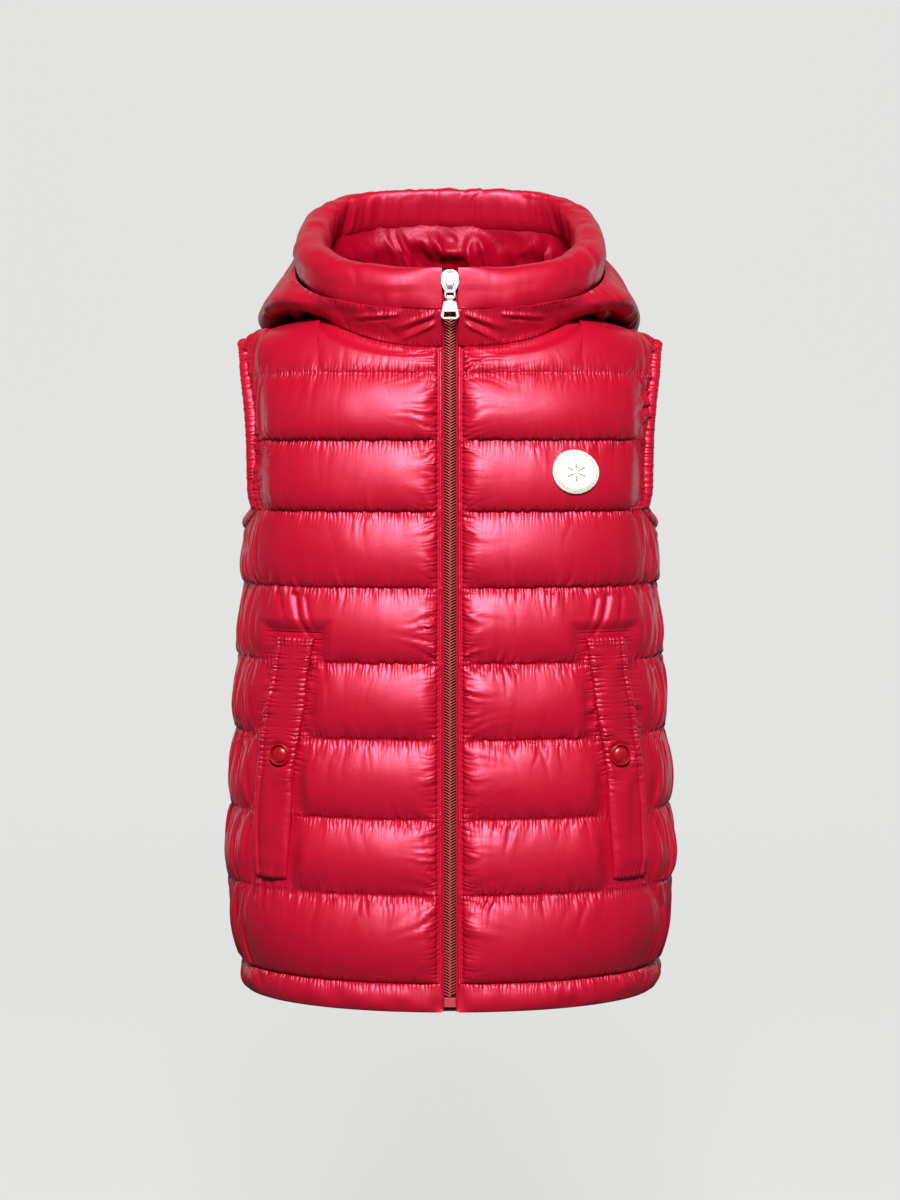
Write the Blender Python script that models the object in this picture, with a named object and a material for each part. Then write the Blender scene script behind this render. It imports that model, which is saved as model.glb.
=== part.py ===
"""Child's hooded puffer vest, zipped to the top, hollow and filled out as if worn.

Metres, +Z up. The front faces -Y and +X is the wearer's left. The origin is the middle of
the neck opening at shoulder height, where the wearer's shoulders carry the vest.

Each quilted panel is a closed wall: a plain inner sheet, and an outer sheet that is raised
between the quilting seams. The bare surface between them is a stack of rounded sections that
curl over the shoulders. The hood is a bag turned round the neck, with a fat tube on its rim.
"""

import math

import bmesh
import bpy
import numpy as np

# --- driving dimensions ---------------------------------------------------------------------

SEAM_GAP = 0.0003
WALL = 0.0020
HEM_Z = -0.470

# Heights of the quilting seams above the hem edge. The first is the seam of the hem band.
QUILT_HEIGHTS = (0.0189, 0.0776, 0.1277, 0.1804, 0.2311, 0.2812, 0.3320, 0.3794, 0.4236)
UNDERARM_SEAM = 6  # the quilting seam that meets the front of the armhole

# Level sections of the body at its seams, from the hem up.
SECTION_COLUMNS = ("height", "half_width", "front_depth", "back_depth", "squareness")
SECTIONS = (
    (0.0000, 0.1420, 0.0965, 0.0930, 2.10),
    (0.0189, 0.1437, 0.0955, 0.0920, 2.10),
    (0.0776, 0.1520, 0.0965, 0.0900, 2.25),
    (0.1277, 0.1502, 0.0965, 0.0880, 2.30),
    (0.1804, 0.1470, 0.0965, 0.0875, 2.30),
    (0.2311, 0.1452, 0.0970, 0.0895, 2.35),
    (0.2812, 0.1412, 0.0965, 0.0930, 2.45),
    (0.3320, 0.1410, 0.0960, 0.0970, 2.50),
    (0.3794, 0.1415, 0.0955, 0.0980, 2.50),
    (0.4700, 0.1415, 0.0950, 0.0980, 2.50),
)

# Above this height the panels curl over to the shoulder seam.
SHOULDER_BASE_Z = HEM_Z + 0.375
SHOULDER_SQUARENESS = 2.8
RIDGE_TOP_Z = 0.0042
RIDGE_FALL = 1.28  # metres of fall for each square metre of distance from the middle
SHOULDER_TIP_X = 0.1415

NECK_HALF_WIDTH = 0.089
NECK_FRONT_Z = -0.029
NECK_BACK_Z = -0.012
NECK_CURVE_POWER = 2.6

# The armhole's edge seen from the front, from the underarm corner up to the shoulder tip.
ARMHOLE_COLUMNS = ("height", "edge_x")
ARMHOLE = (
    (0.3320, 0.1283),
    (0.3357, 0.1298),
    (0.3420, 0.1305),
    (0.3600, 0.1312),
    (0.3870, 0.1322),
    (0.4100, 0.1345),
    (0.4260, 0.1372),
    (0.4350, 0.1390),
    (0.4485, 0.1415),
)
UNDERARM_DROP = 0.015

# Padding: how far the outer sheet stands off the seams.
FRONT_PUFF = 0.0085
HEM_BAFFLE_PUFF = 0.0098
SHOULDER_PUFF = 0.0066
COLLAR_PUFF = 0.0038
NECK_PUFF_SHARE = 0.2
SIDE_PUFF = 0.0042
PUFF_POWER = 0.6
ARMHOLE_FADE = 0.016
ARMHOLE_EDGE_SHARE = 0.2

# Zip
ZIP_EDGE_X = 0.0054
ZIP_STRIP_X = 0.0085
ZIP_FADE = 0.011
TAPE_BEHIND = 0.0040
TAPE_THICKNESS = 0.0008
TAPE_INNER_X = 0.0041
TAPE_OUTER_X = 0.0095
CHAIN_HALF_WIDTH = 0.0038
CHAIN_BEHIND = 0.0026
CHAIN_THICKNESS = 0.0024
CHAIN_TOP_Z = 0.0052
ZIP_BOX_BOTTOM_Z = -0.4670
ZIP_BOX_TOP_Z = -0.4606
ZIP_BOX_HALF_WIDTH = 0.0037
ZIP_BOX_FRONT = 0.0026
ZIP_BOX_BEHIND = 0.0012
ZIP_BOX_BEVEL = 0.0006
TAPE_BOTTOM_Z = HEM_Z + 0.0015
TAPE_TOP_Z = 0.0225

# Pocket welts, edges seen from the front.
WELT_COLUMNS = ("height", "front_edge_x", "side_edge_x")
WELT = (
    (0.0850, 0.1078, 0.1280),
    (0.1320, 0.1041, 0.1273),
    (0.1650, 0.1023, 0.1245),
    (0.1950, 0.0965, 0.1209),
    (0.2200, 0.0933, 0.1164),
    (0.2475, 0.0892, 0.1126),
)
WELT_UNDER = 0.0038
WELT_THICKNESS = 0.0026
WELT_PUCKERS = 12
WELT_PUCKER_HEIGHT = 0.0005
WELT_DITCH = 0.014
WELT_PRESS = 0.72  # share of the padding that the pocket flattens

SNAP_X = 0.1101
SNAP_HEIGHT = 0.1684
SNAP_RADIUS = 0.0070
SNAP_RISE = 0.0024
PATCH_X = 0.0807
PATCH_HEIGHT = 0.3581
PATCH_RADIUS = 0.0148
PATCH_THICKNESS = 0.0016

# Hood. The rim is a tube on a tilted ring, and the bag is turned from the neck to the rim.
BRIM_HALF_WIDTH = 0.0965
BRIM_FRONT = 0.0815
BRIM_BACK = 0.0800
BRIM_FRONT_SQUARENESS = 2.4
BRIM_BACK_SQUARENESS = 2.8
BRIM_FRONT_TOP_Z = 0.0240
BRIM_TILT = 0.42
BRIM_HEIGHT = 0.0320
BRIM_SEAM_BELOW_TOP = 0.0277
BRIM_THICKNESS = 0.0240
BRIM_END_THICKNESS = 0.0022
BRIM_PINCH_START_X = 0.0095
BRIM_PINCH_LENGTH = 0.030
BRIM_SEAM_OUT = 0.0115
BRIM_SEAM_RISE = 0.0047
HOOD_NECK_RISE = 0.0010
LINING_SEAM_IN = 0.0105
LINING_SEAM_DROP = 0.0068
LINING_BEHIND = 0.0050
LINING_THICKNESS = 0.0012

# Knots of the hood's outline between neck seam and rim seam, by angle from the front.
HOOD_COLUMNS = (
    "angle", "root_out", "root_z", "low_out", "low_z", "reach_out", "reach_z", "crown_out", "crown_z"
)
HOOD = (
    (0, 0.0855, -0.0235, 0.0875, -0.0185, 0.0895, -0.0135, 0.0915, -0.0085),
    (30, 0.0900, -0.0210, 0.0930, -0.0160, 0.0960, -0.0110, 0.0980, -0.0055),
    (50, 0.0965, -0.0120, 0.1005, -0.0075, 0.1035, -0.0025, 0.1055, 0.0010),
    (75, 0.1000, -0.0030, 0.1170, -0.0015, 0.1250, 0.0050, 0.1190, 0.0125),
    (95, 0.1040, -0.0020, 0.1255, -0.0085, 0.1335, -0.0010, 0.1225, 0.0165),
    (125, 0.1110, -0.0050, 0.1390, -0.0360, 0.1520, -0.0120, 0.1370, 0.0300),
    (155, 0.1000, -0.0090, 0.1280, -0.0680, 0.1600, -0.0360, 0.1430, 0.0240),
    (180, 0.0920, -0.0110, 0.1200, -0.0780, 0.1600, -0.0440, 0.1420, 0.0220),
)
HOOD_STRIP_ANGLE = 162  # the centre strip's seams are at this angle from the front

# Armhole bands
BAND_HALF_WIDTH = 0.0036
BAND_HALF_THICKNESS = 0.0021
BAND_GATHERS = 28
BAND_GATHER_HEIGHT = 0.0005
BAND_LEAN = 0.35
BAND_UNDERARM_LEAN = 3.0
BAND_LEAN_RISE = 0.030

# Hem band
HEM_PUFF = 0.0034
HEM_GATHERS = 8
HEM_GATHER_HEIGHT = 0.0009
HEM_GATHERS_FROM = 60  # degrees from the front
HEM_GATHERS_TO = 122
HEM_FRONT_STEPS = (0, 0.04, 0.12, 0.28, 0.46, 0.64, 0.82)
HEM_BACK_STEPS = 7
HEM_LEVELS = (0, 0.18, 0.5, 0.82, 1)

# Pull
PLATE_BOTTOM_Z = 0.0072
PLATE_TOP_Z = 0.0225
PLATE_BEFORE_TAPE = 0.0044
PLATE_THICKNESS = 0.0012
# The plate's right half as (x, height above its bottom), up to its top.
PLATE_OUTLINE = (
    (0.0024, 0.0000),
    (0.0042, 0.0022),
    (0.00585, 0.0060),
    (0.00585, 0.0113),
    (0.00505, 0.0133),
    (0.00325, 0.0148),
    (0.0018, 0.0153),
)
# The bridge from the side as (distance before the plate's front, z), round the link's bar.
BRIDGE_HALF_WIDTH = 0.0018
BRIDGE_OUTLINE = (
    (-0.0005, 0.0108),
    (-0.0005, 0.0122),
    (0.0024, 0.0122),
    (0.0024, 0.0200),
    (-0.0005, 0.0212),
    (-0.0005, 0.0222),
    (0.0010, 0.0220),
    (0.0034, 0.0200),
    (0.0034, 0.0120),
    (0.0024, 0.0108),
)
SLIDER_NECK_HALF_WIDTH = 0.0033
SLIDER_NECK_BELOW_TOP = (0.0075, 0.0010)
SLIDER_BACK_HALF_WIDTH = 0.0048
SLIDER_BACK_Z = (0.0102, 0.0213)
SLIDER_BACK_BEHIND_TAPE = (0.0010, 0.0020)
OVERLAP = 0.0004  # how deep united pieces of one body run into each other
LINK_AXIS_Z = 0.0136
LINK_LENGTH = 0.0100
LINK_HALF_WIDTH = 0.0031
LINK_RADIUS = 0.0006
LINK_CORNER = 0.0010
LINK_BEFORE_PLATE = 0.0014
TAB_LENGTH = 0.0141
TAB_TOP_HALF_WIDTH = 0.0042
TAB_BOTTOM_HALF_WIDTH = 0.0061
TAB_THICKNESS = 0.0014
TAB_TOP_BELOW_AXIS = 0.0022
TAB_CORNER = 0.0022
TAB_BEVEL = 0.0008
WINDOW_ABOVE_BOTTOM = (0.0014, 0.0049)
WINDOW_HALF_WIDTHS = (0.0042, 0.0039)
EYE_RADIUS = 0.0016
EYE_BORE_RADIUS = 0.0009
EYE_HALF_WIDTH = 0.0021


# --- small tools ----------------------------------------------------------------------------


def read_table(table, columns, name, at):
    """A smooth curve through one column of a table, read at the values of its first column."""
    keys = np.array([row[0] for row in table], float)
    values = np.array([row[columns.index(name)] for row in table], float)
    slopes = np.gradient(values, keys)
    at = np.clip(np.asarray(at, float), keys[0], keys[-1])
    i = np.clip(np.searchsorted(keys, at) - 1, 0, len(keys) - 2)
    span = keys[i + 1] - keys[i]
    s = (at - keys[i]) / span
    rise = values[i] * (1 + 2 * s) * (1 - s) ** 2 + values[i + 1] * s * s * (3 - 2 * s)
    return rise + span * (slopes[i] * s * (1 - s) ** 2 - slopes[i + 1] * s * s * (1 - s))


def ramp(share):
    """0 below 0, 1 above 1, and smooth between them."""
    s = np.clip(share, 0, 1)
    return s * s * (3 - 2 * s)


def unit(vectors):
    return vectors / np.linalg.norm(vectors, axis=-1, keepdims=True)


def material(name, colour, roughness, metallic=0.0):
    made = bpy.data.materials.new(name)
    made.use_nodes = True
    shader = made.node_tree.nodes["Principled BSDF"]
    shader.inputs["Base Color"].default_value = (*colour, 1)
    shader.inputs["Roughness"].default_value = roughness
    shader.inputs["Metallic"].default_value = metallic
    return made


def add_object(name, points, faces, finish, origin=(0, 0, 0)):
    """A closed mesh whose faces are turned outwards."""
    mesh = bpy.data.meshes.new(name)
    local = np.asarray(points, float) - np.asarray(origin, float)
    mesh.from_pydata(local.tolist(), [], faces)
    mesh.materials.append(finish)
    made = bpy.data.objects.new(name, mesh)
    made.location = origin
    bpy.context.scene.collection.objects.link(made)
    turn_outwards(mesh)
    mesh.shade_smooth()
    mesh.set_sharp_from_angle(angle=math.radians(50))
    return made


def turn_outwards(mesh):
    work = bmesh.new()
    work.from_mesh(mesh)
    bmesh.ops.recalc_face_normals(work, faces=work.faces)
    work.to_mesh(mesh)
    work.free()


def wall(name, outer, inner, finish, inner_rows=None, cell_tops=None):
    """A closed wall from two grids of rows by columns. The inner sheet may keep fewer rows.

    cell_tops gives, for each strip between two columns, the row where the strip ends.
    """
    rows, columns = outer.shape[:2]
    kept = list(range(rows)) if inner_rows is None else list(inner_rows)
    tops = [rows - 1] * (columns - 1) if cell_tops is None else list(cell_tops)
    reach = [max(tops[max(j - 1, 0)], tops[min(j, columns - 2)]) for j in range(columns)]
    points, outside, inside = [], {}, {}
    for j in range(columns):
        for i in range(reach[j] + 1):
            outside[i, j] = len(points)
            points.append(outer[i, j])
        for i in kept:
            if i <= reach[j]:
                inside[i, j] = len(points)
                points.append(inner[i, j])
    faces = []
    for j, top in enumerate(tops):
        for i in range(top):
            faces.append((outside[i, j], outside[i, j + 1], outside[i + 1, j + 1], outside[i + 1, j]))
        for low, high in zip(kept, kept[1:]):
            if high <= top:
                faces.append((inside[low, j], inside[high, j], inside[high, j + 1], inside[low, j + 1]))
        for i in (0, top):
            faces.append((outside[i, j], outside[i, j + 1], inside[i, j + 1], inside[i, j]))
    ends = [0, *tops, 0]
    for j in range(columns):
        before, after = ends[j], ends[j + 1]
        for low, high in zip(kept, kept[1:]):
            if min(before, after) <= low and high <= max(before, after):
                chain = [outside[i, j] for i in range(low, high + 1)]
                faces.append((*chain, inside[high, j], inside[low, j]))
    return add_object(name, points, faces, finish)


def mirrored(grid):
    return grid[:, ::-1] * (-1, 1, 1)


def sweep(name, sections, finish, closed, origin=(0, 0, 0)):
    """A closed body through rings of points, either capped or joined end to end."""
    count, around = sections.shape[:2]
    faces = []
    for i in range(count if closed else count - 1):
        here, there = i * around, (i + 1) % count * around
        for k in range(around):
            after = (k + 1) % around
            faces.append((here + k, here + after, there + after, there + k))
    if not closed:
        faces.append(tuple(range(around)))
        faces.append(tuple(range((count - 1) * around, count * around)))
    return add_object(name, sections.reshape(-1, 3), faces, finish, origin)


def prism(name, outline, axis, low, high, finish, origin=(0, 0, 0)):
    """An outline of (a, b) pairs in the plane across an axis, extruded along that axis."""
    across = [k for k in range(3) if k != axis]
    rings = np.zeros((2, len(outline), 3))
    rings[:, :, across[0]] = [a for a, _ in outline]
    rings[:, :, across[1]] = [b for _, b in outline]
    rings[0, :, axis] = low
    rings[1, :, axis] = high
    return sweep(name, rings, finish, closed=False, origin=origin)


def combine(target, tool, operation):
    """Adds or cuts another body, which stays as a hidden guide."""
    tool.hide_render = True
    tool.display_type = "WIRE"
    step = target.modifiers.new(tool.name, "BOOLEAN")
    step.operation = operation
    step.object = tool


# --- the body's bare surface ----------------------------------------------------------------


def section(name, z):
    return read_table(SECTIONS, SECTION_COLUMNS, name, np.asarray(z) - HEM_Z)


def armhole_x(z):
    return read_table(ARMHOLE, ARMHOLE_COLUMNS, "edge_x", np.asarray(z) - HEM_Z)


def ridge_z(x):
    return RIDGE_TOP_Z - RIDGE_FALL * np.asarray(x) ** 2


def body_depth(side, x, z):
    """Distance of the bare surface from the middle plane y = 0. side is -1 in front, 1 behind."""
    n = section("squareness", z)
    depth = section("front_depth" if side < 0 else "back_depth", z)
    across = np.clip(np.abs(x) / section("half_width", z), 0, 1)
    rise = np.clip((z - SHOULDER_BASE_Z) / (ridge_z(x) - SHOULDER_BASE_Z), 0, 1)
    curl = (1 - rise**SHOULDER_SQUARENESS) ** (1 / SHOULDER_SQUARENESS)
    return depth * (1 - across**n) ** (1 / n) * curl


def neck_z(side, x):
    middle = NECK_FRONT_Z if side < 0 else NECK_BACK_Z
    share = np.clip(np.abs(x) / NECK_HALF_WIDTH, 0, 1) ** NECK_CURVE_POWER
    return middle + (ridge_z(NECK_HALF_WIDTH) - middle) * share


# --- quilted panels -------------------------------------------------------------------------

BAFFLE_STEPS = (0.0, 0.10, 0.32, 0.62, 0.88)
TOP_STEPS = (0.0, 0.12, 0.32, 0.52, 0.72, 0.88, 1.0)
SIDE_STEPS = (1 / 3, 2 / 3, 1)
LEVEL_ROWS = [
    (k, step) for k in range(len(QUILT_HEIGHTS) - 1) for step in BAFFLE_STEPS
]
CORNER_ROW = UNDERARM_SEAM * len(BAFFLE_STEPS)
TOP_ROW = len(LEVEL_ROWS)
ROWS = TOP_ROW + len(TOP_STEPS)
INNER_ROWS = [*range(0, TOP_ROW, len(BAFFLE_STEPS)), TOP_ROW - 2, *range(TOP_ROW, ROWS, 2)]

NECK_SHARE = (NECK_HALF_WIDTH - ZIP_EDGE_X) / (SHOULDER_TIP_X - ZIP_EDGE_X)
FRONT_NECK_STEPS = (0, 0.045, 0.12, 0.26, 0.45, 0.65, 0.82, 0.93)
BACK_NECK_STEPS = (0, 0.21, 0.42, 0.63, 0.82, 0.93)
ARM_STEPS = (0, 0.30, 0.60, 0.84, 1)


def column_shares(neck_steps):
    """Where the columns lie between the middle and the armhole, with one at the neck's side."""
    neck = [NECK_SHARE * step for step in neck_steps]
    return np.array(neck + [NECK_SHARE + (1 - NECK_SHARE) * step for step in ARM_STEPS])


def corner_angle():
    """The section's angle at the underarm corner, shared by every section below it."""
    z = HEM_Z + QUILT_HEIGHTS[UNDERARM_SEAM]
    share = ARMHOLE[0][1] / section("half_width", z)
    return math.asin(share ** (section("squareness", z) / 2))


def x_at_angle(z, angle):
    return section("half_width", z) * np.sin(angle) ** (2 / section("squareness", z))


def lift(step):
    """Height of the padding across one baffle, from 0 at a seam to 1 in its middle."""
    return np.clip(4 * step * (1 - step), 0, 1) ** PUFF_POWER


def welt_cover(x, z):
    """1 under the pocket welt, fading to 0 round it."""
    height = z - HEM_Z
    front = read_table(WELT, WELT_COLUMNS, "front_edge_x", height)
    back = read_table(WELT, WELT_COLUMNS, "side_edge_x", height)
    beside = np.maximum(front - x, x - back)
    above = np.maximum(WELT[0][0] - height, height - WELT[-1][0])
    return 1 - ramp(np.maximum(np.maximum(beside, above), 0) / WELT_DITCH)


def puff(side, x, z, baffle, step):
    """How far the outer sheet stands off the bare surface."""
    full = np.where(baffle == 0, HEM_BAFFLE_PUFF, FRONT_PUFF)
    if baffle == len(QUILT_HEIGHTS) - 1:
        full = COLLAR_PUFF + (SHOULDER_PUFF - COLLAR_PUFF) * ramp((np.abs(x) - 0.04) / 0.06)
        full = full * (1 - (1 - NECK_PUFF_SHARE) * ramp((step - 0.45) / 0.3) * (np.abs(x) < 0.125))
    round_side = (np.abs(x) / section("half_width", z)) ** 5
    full = full + (SIDE_PUFF - full) * np.clip(round_side, 0, 1)
    beyond = HEM_Z + QUILT_HEIGHTS[UNDERARM_SEAM]
    edge = ramp((armhole_x(z) - np.abs(x)) / ARMHOLE_FADE)
    edge = ARMHOLE_EDGE_SHARE + (1 - ARMHOLE_EDGE_SHARE) * edge
    full = full * np.where(z > beyond, edge, 1)
    if side < 0:
        full = full * ramp((np.abs(x) - ZIP_STRIP_X) / ZIP_FADE)
        full = full * (1 - WELT_PRESS * welt_cover(np.abs(x), z))
    return full * lift(step)


def half_panel(side, shares, start_x):
    """Bare points, outward normals and padding of the half panel at +X, as rows by columns.

    The main columns run from the hem band to the neck and shoulder. The side columns go from
    the underarm corner's column round to the side seam, and end at the armhole.
    """
    corner_z = HEM_Z + QUILT_HEIGHTS[UNDERARM_SEAM]
    angle = corner_angle()
    columns = len(shares) + len(SIDE_STEPS)
    place = np.zeros((ROWS, columns, 3))
    padding = np.zeros((ROWS, columns))
    main = slice(0, len(shares))
    for i, (k, step) in enumerate(LEVEL_ROWS):
        low, high = HEM_Z + QUILT_HEIGHTS[k], HEM_Z + QUILT_HEIGHTS[k + 1]
        z = low + (high - low) * step
        end_x = x_at_angle(z, angle) if i <= CORNER_ROW else armhole_x(z)
        x = start_x + (end_x - start_x) * shares
        place[i, main] = np.stack([x, side * body_depth(side, x, z), x * 0 + z], -1)
        padding[i, main] = puff(side, x, x * 0 + z, k, step)
        for j, share in enumerate(SIDE_STEPS):
            dip = UNDERARM_DROP * (1 - (1 - share) ** 2)
            whole = k == UNDERARM_SEAM - 1
            side_z = low + (high - dip - low) * step if whole else z
            if i == CORNER_ROW:
                side_z = corner_z - dip
            x = x_at_angle(side_z, angle + (math.pi / 2 - angle) * share)
            at = len(shares) + j
            place[i, at] = x, side * body_depth(side, x, side_z), side_z
            padding[i, at] = puff(side, x, side_z, k, step) if i < CORNER_ROW else 0
    quilt_x = start_x + (armhole_x(HEM_Z + QUILT_HEIGHTS[-1]) - start_x) * shares
    top_x = start_x + (SHOULDER_TIP_X - start_x) * shares
    top_z = np.where(top_x < NECK_HALF_WIDTH - 1e-6, neck_z(side, top_x), ridge_z(top_x))
    low_curl = curl_angle(quilt_x, HEM_Z + QUILT_HEIGHTS[-1])
    high_curl = curl_angle(top_x, top_z)
    for i, step in enumerate(TOP_STEPS):
        x = quilt_x + (top_x - quilt_x) * step
        z = curl_z(x, low_curl + (high_curl - low_curl) * step)
        place[TOP_ROW + i, main] = np.stack([x, side * body_depth(side, x, z), z], -1)
        padding[TOP_ROW + i, main] = puff(side, x, z, len(QUILT_HEIGHTS) - 1, step)
    normal = np.zeros_like(place)
    last = len(shares) - 1
    normal[:, main] = grid_normals(place[:, main], side)
    beside = grid_normals(place[: CORNER_ROW + 1, last:], side)
    normal[: CORNER_ROW + 1, last + 1 :] = beside[:, 1:]
    normal[: CORNER_ROW + 1, last] = unit(normal[: CORNER_ROW + 1, last] + beside[:, 0])
    tops = [ROWS - 1] * last + [CORNER_ROW] * len(SIDE_STEPS)
    return place, normal, padding, tops


def curl_angle(x, z):
    rise = np.clip((z - SHOULDER_BASE_Z) / (ridge_z(x) - SHOULDER_BASE_Z), 0, 1)
    return np.arcsin(rise ** (SHOULDER_SQUARENESS / 2))


def curl_z(x, angle):
    share = np.sin(angle) ** (2 / SHOULDER_SQUARENESS)
    return SHOULDER_BASE_Z + (ridge_z(x) - SHOULDER_BASE_Z) * share


def grid_normals(place, side):
    along = np.gradient(place, axis=1)
    up = np.gradient(place, axis=0)
    return unit(-side * np.cross(along, up))


def quilted_sheets(side, place, normal, padding):
    """Outer and inner sheets, kept clear of the side seams, shoulder seams and hem band."""
    outer = place + normal * padding[..., None]
    inner = place - normal * WALL
    for sheet in (outer, inner):
        sheet[..., 1] = side * np.maximum(side * sheet[..., 1], SEAM_GAP / 2)
        sheet[0, :, 2] = HEM_Z + QUILT_HEIGHTS[0] + SEAM_GAP / 2
    return outer, inner


def make_fronts(finish):
    place, normal, padding, tops = half_panel(-1, column_shares(FRONT_NECK_STEPS), ZIP_EDGE_X)
    outer, inner = quilted_sheets(-1, place, normal, padding)
    for sheet in (outer, inner):
        sheet[..., 0] = np.maximum(sheet[..., 0], ZIP_EDGE_X)
    wall("front_left", outer, inner, finish, INNER_ROWS, tops)
    wall("front_right", mirrored(outer), mirrored(inner), finish, INNER_ROWS, tops[::-1])
    return outer


def make_back(finish):
    place, normal, padding, tops = half_panel(1, column_shares(BACK_NECK_STEPS), 0)
    normal[:, 0, 0] = 0
    normal[:, 0] = unit(normal[:, 0])
    outer, inner = quilted_sheets(1, place, normal, padding)
    whole_outer = np.concatenate([mirrored(outer), outer[:, 1:]], axis=1)
    whole_inner = np.concatenate([mirrored(inner), inner[:, 1:]], axis=1)
    wall("back", whole_outer, whole_inner, finish, INNER_ROWS, tops[::-1] + tops)
    return outer


# --- hem band -------------------------------------------------------------------------------


def ring_point(z, angle):
    """A point of the level section at an angle from the front, from 0 to a whole turn."""
    n = section("squareness", z)
    depth = np.where(np.cos(angle) > 0, section("front_depth", z), section("back_depth", z))
    sine, cosine = np.sin(angle), np.cos(angle)
    x = section("half_width", z) * np.sign(sine) * np.abs(sine) ** (2 / n)
    y = -depth * np.sign(cosine) * np.abs(cosine) ** (2 / n)
    return np.stack([x, y, x * 0 + z], -1)


def make_hem_band(finish):
    share = ZIP_EDGE_X / section("half_width", HEM_Z)
    first = math.asin(share ** (section("squareness", HEM_Z) / 2))
    ends = math.radians(HEM_GATHERS_FROM), math.radians(HEM_GATHERS_TO)
    gathered = np.linspace(*ends, 2 * HEM_GATHERS + 1)
    front = first + (gathered[0] - first) * np.array(HEM_FRONT_STEPS)
    back = np.linspace(gathered[-1], math.pi, HEM_BACK_STEPS + 1)[1:]
    half = np.concatenate([front, gathered, back])
    wave = np.zeros(len(half))
    start = len(front)
    wave[start : start + len(gathered)] = (-1.0) ** np.arange(len(gathered))
    angles = np.concatenate([half, 2 * math.pi - half[-2::-1]])
    wave = np.concatenate([wave, wave[-2::-1]])
    top = HEM_Z + QUILT_HEIGHTS[0] - SEAM_GAP / 2
    outer, inner = [], []
    for step in HEM_LEVELS:
        bare = ring_point(HEM_Z + (top - HEM_Z) * step, angles)
        along = np.gradient(bare, axis=0)
        normal = unit(np.stack([along[:, 1], -along[:, 0], along[:, 0] * 0], -1))
        full = HEM_PUFF * ramp((np.abs(bare[:, 0]) - ZIP_EDGE_X) / ZIP_FADE + (bare[:, 1] > 0))
        raised = (full + HEM_GATHER_HEIGHT * wave) * lift(step)
        outer.append(bare + normal * raised[:, None])
        inner.append(bare - normal * WALL)
    outer, inner = np.array(outer), np.array(inner)
    for sheet in (outer, inner):
        sheet[:, 0, 0] = ZIP_EDGE_X
        sheet[:, -1, 0] = -ZIP_EDGE_X
    wall("hem_band", outer, inner, finish, inner_rows=(0, len(HEM_LEVELS) - 1))


# --- armhole bands --------------------------------------------------------------------------


def armhole_loop(front, back):
    """The armhole's seam at +X as a closed run of points, from the underarm up the front."""
    main = len(column_shares(FRONT_NECK_STEPS))
    under_front = front[CORNER_ROW, main:][::-1]
    up_front = front[CORNER_ROW:, main - 1]
    main = len(column_shares(BACK_NECK_STEPS))
    down_back = back[CORNER_ROW:, main - 1][::-1]
    under_back = back[CORNER_ROW, main:]
    run = np.concatenate([under_front, up_front, down_back[1:], under_back[:-1]])
    return resampled(run, 2 * BAND_GATHERS)


def resampled(run, count):
    """Evenly spaced points on a closed run, with its corners softened."""
    closed = np.concatenate([run, run[:1]])
    length = np.concatenate([[0], np.cumsum(np.linalg.norm(np.diff(closed, axis=0), axis=1))])
    at = np.linspace(0, length[-1], count, endpoint=False)
    points = np.stack([np.interp(at, length, closed[:, k]) for k in range(3)], -1)
    for _ in range(2):
        points = (np.roll(points, 1, 0) + 2 * points + np.roll(points, -1, 0)) / 4
    return points


def make_armhole_bands(front, back, finish):
    seam = armhole_loop(front, back)
    tangent = unit(np.roll(seam, -1, 0) - np.roll(seam, 1, 0))
    centre = seam.mean(axis=0)
    inward = (centre - seam) * (0, 1, 1)
    low = 1 - ramp((seam[:, 2:] - seam[:, 2].min()) / BAND_LEAN_RISE)
    lean = BAND_LEAN + (BAND_UNDERARM_LEAN - BAND_LEAN) * low
    outward = unit(inward) * lean + np.array([1.0, 0, 0])
    outward = unit(outward - tangent * (outward * tangent).sum(-1, keepdims=True))
    across = np.cross(outward, tangent)
    wave = (-1.0) ** np.arange(len(seam))[:, None]
    thick = BAND_HALF_THICKNESS + BAND_GATHER_HEIGHT * wave
    sections = []
    for k in range(6):
        turn = 2 * math.pi * (k + 0.5) / 6
        reach = SEAM_GAP * 3 + BAND_HALF_WIDTH * (1 + math.cos(turn) / math.cos(math.pi / 6))
        sections.append(seam + outward * reach + across * thick * math.sin(turn))
    sections = np.stack(sections, 1)
    sweep("armhole_band_left", sections, finish, closed=True)
    sweep("armhole_band_right", sections * (-1, 1, 1), finish, closed=True)


# --- hood -----------------------------------------------------------------------------------


def neck_ring():
    """Angle from the front, distance from the axis and height of the neck seam, at +X."""
    share = np.sin(np.linspace(0, math.pi / 2, 40))
    x = NECK_HALF_WIDTH * share
    rows = []
    for side, order in ((-1, slice(None)), (1, slice(-2, None, -1))):
        z = neck_z(side, x)
        y = side * body_depth(side, x, z)
        rows.append(np.stack([x, y, z], -1)[order])
    ring = np.concatenate(rows)
    return np.arctan2(ring[:, 0], -ring[:, 1]), np.hypot(ring[:, 0], ring[:, 1]), ring[:, 2]


NECK_ANGLE, NECK_RADIUS, NECK_Z = neck_ring()


def brim_radius(angle):
    """Distance of the rim tube's centre line from the axis."""
    behind = ramp((angle - math.radians(60)) / math.radians(60))
    n = BRIM_FRONT_SQUARENESS + (BRIM_BACK_SQUARENESS - BRIM_FRONT_SQUARENESS) * behind
    depth = BRIM_FRONT + (BRIM_BACK - BRIM_FRONT) * behind
    across = np.abs(np.sin(angle)) / BRIM_HALF_WIDTH
    along = np.abs(np.cos(angle)) / depth
    return (across**n + along**n) ** (-1 / n)


def brim_top_z(y):
    return BRIM_FRONT_TOP_Z + BRIM_TILT * (y + BRIM_FRONT)


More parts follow.
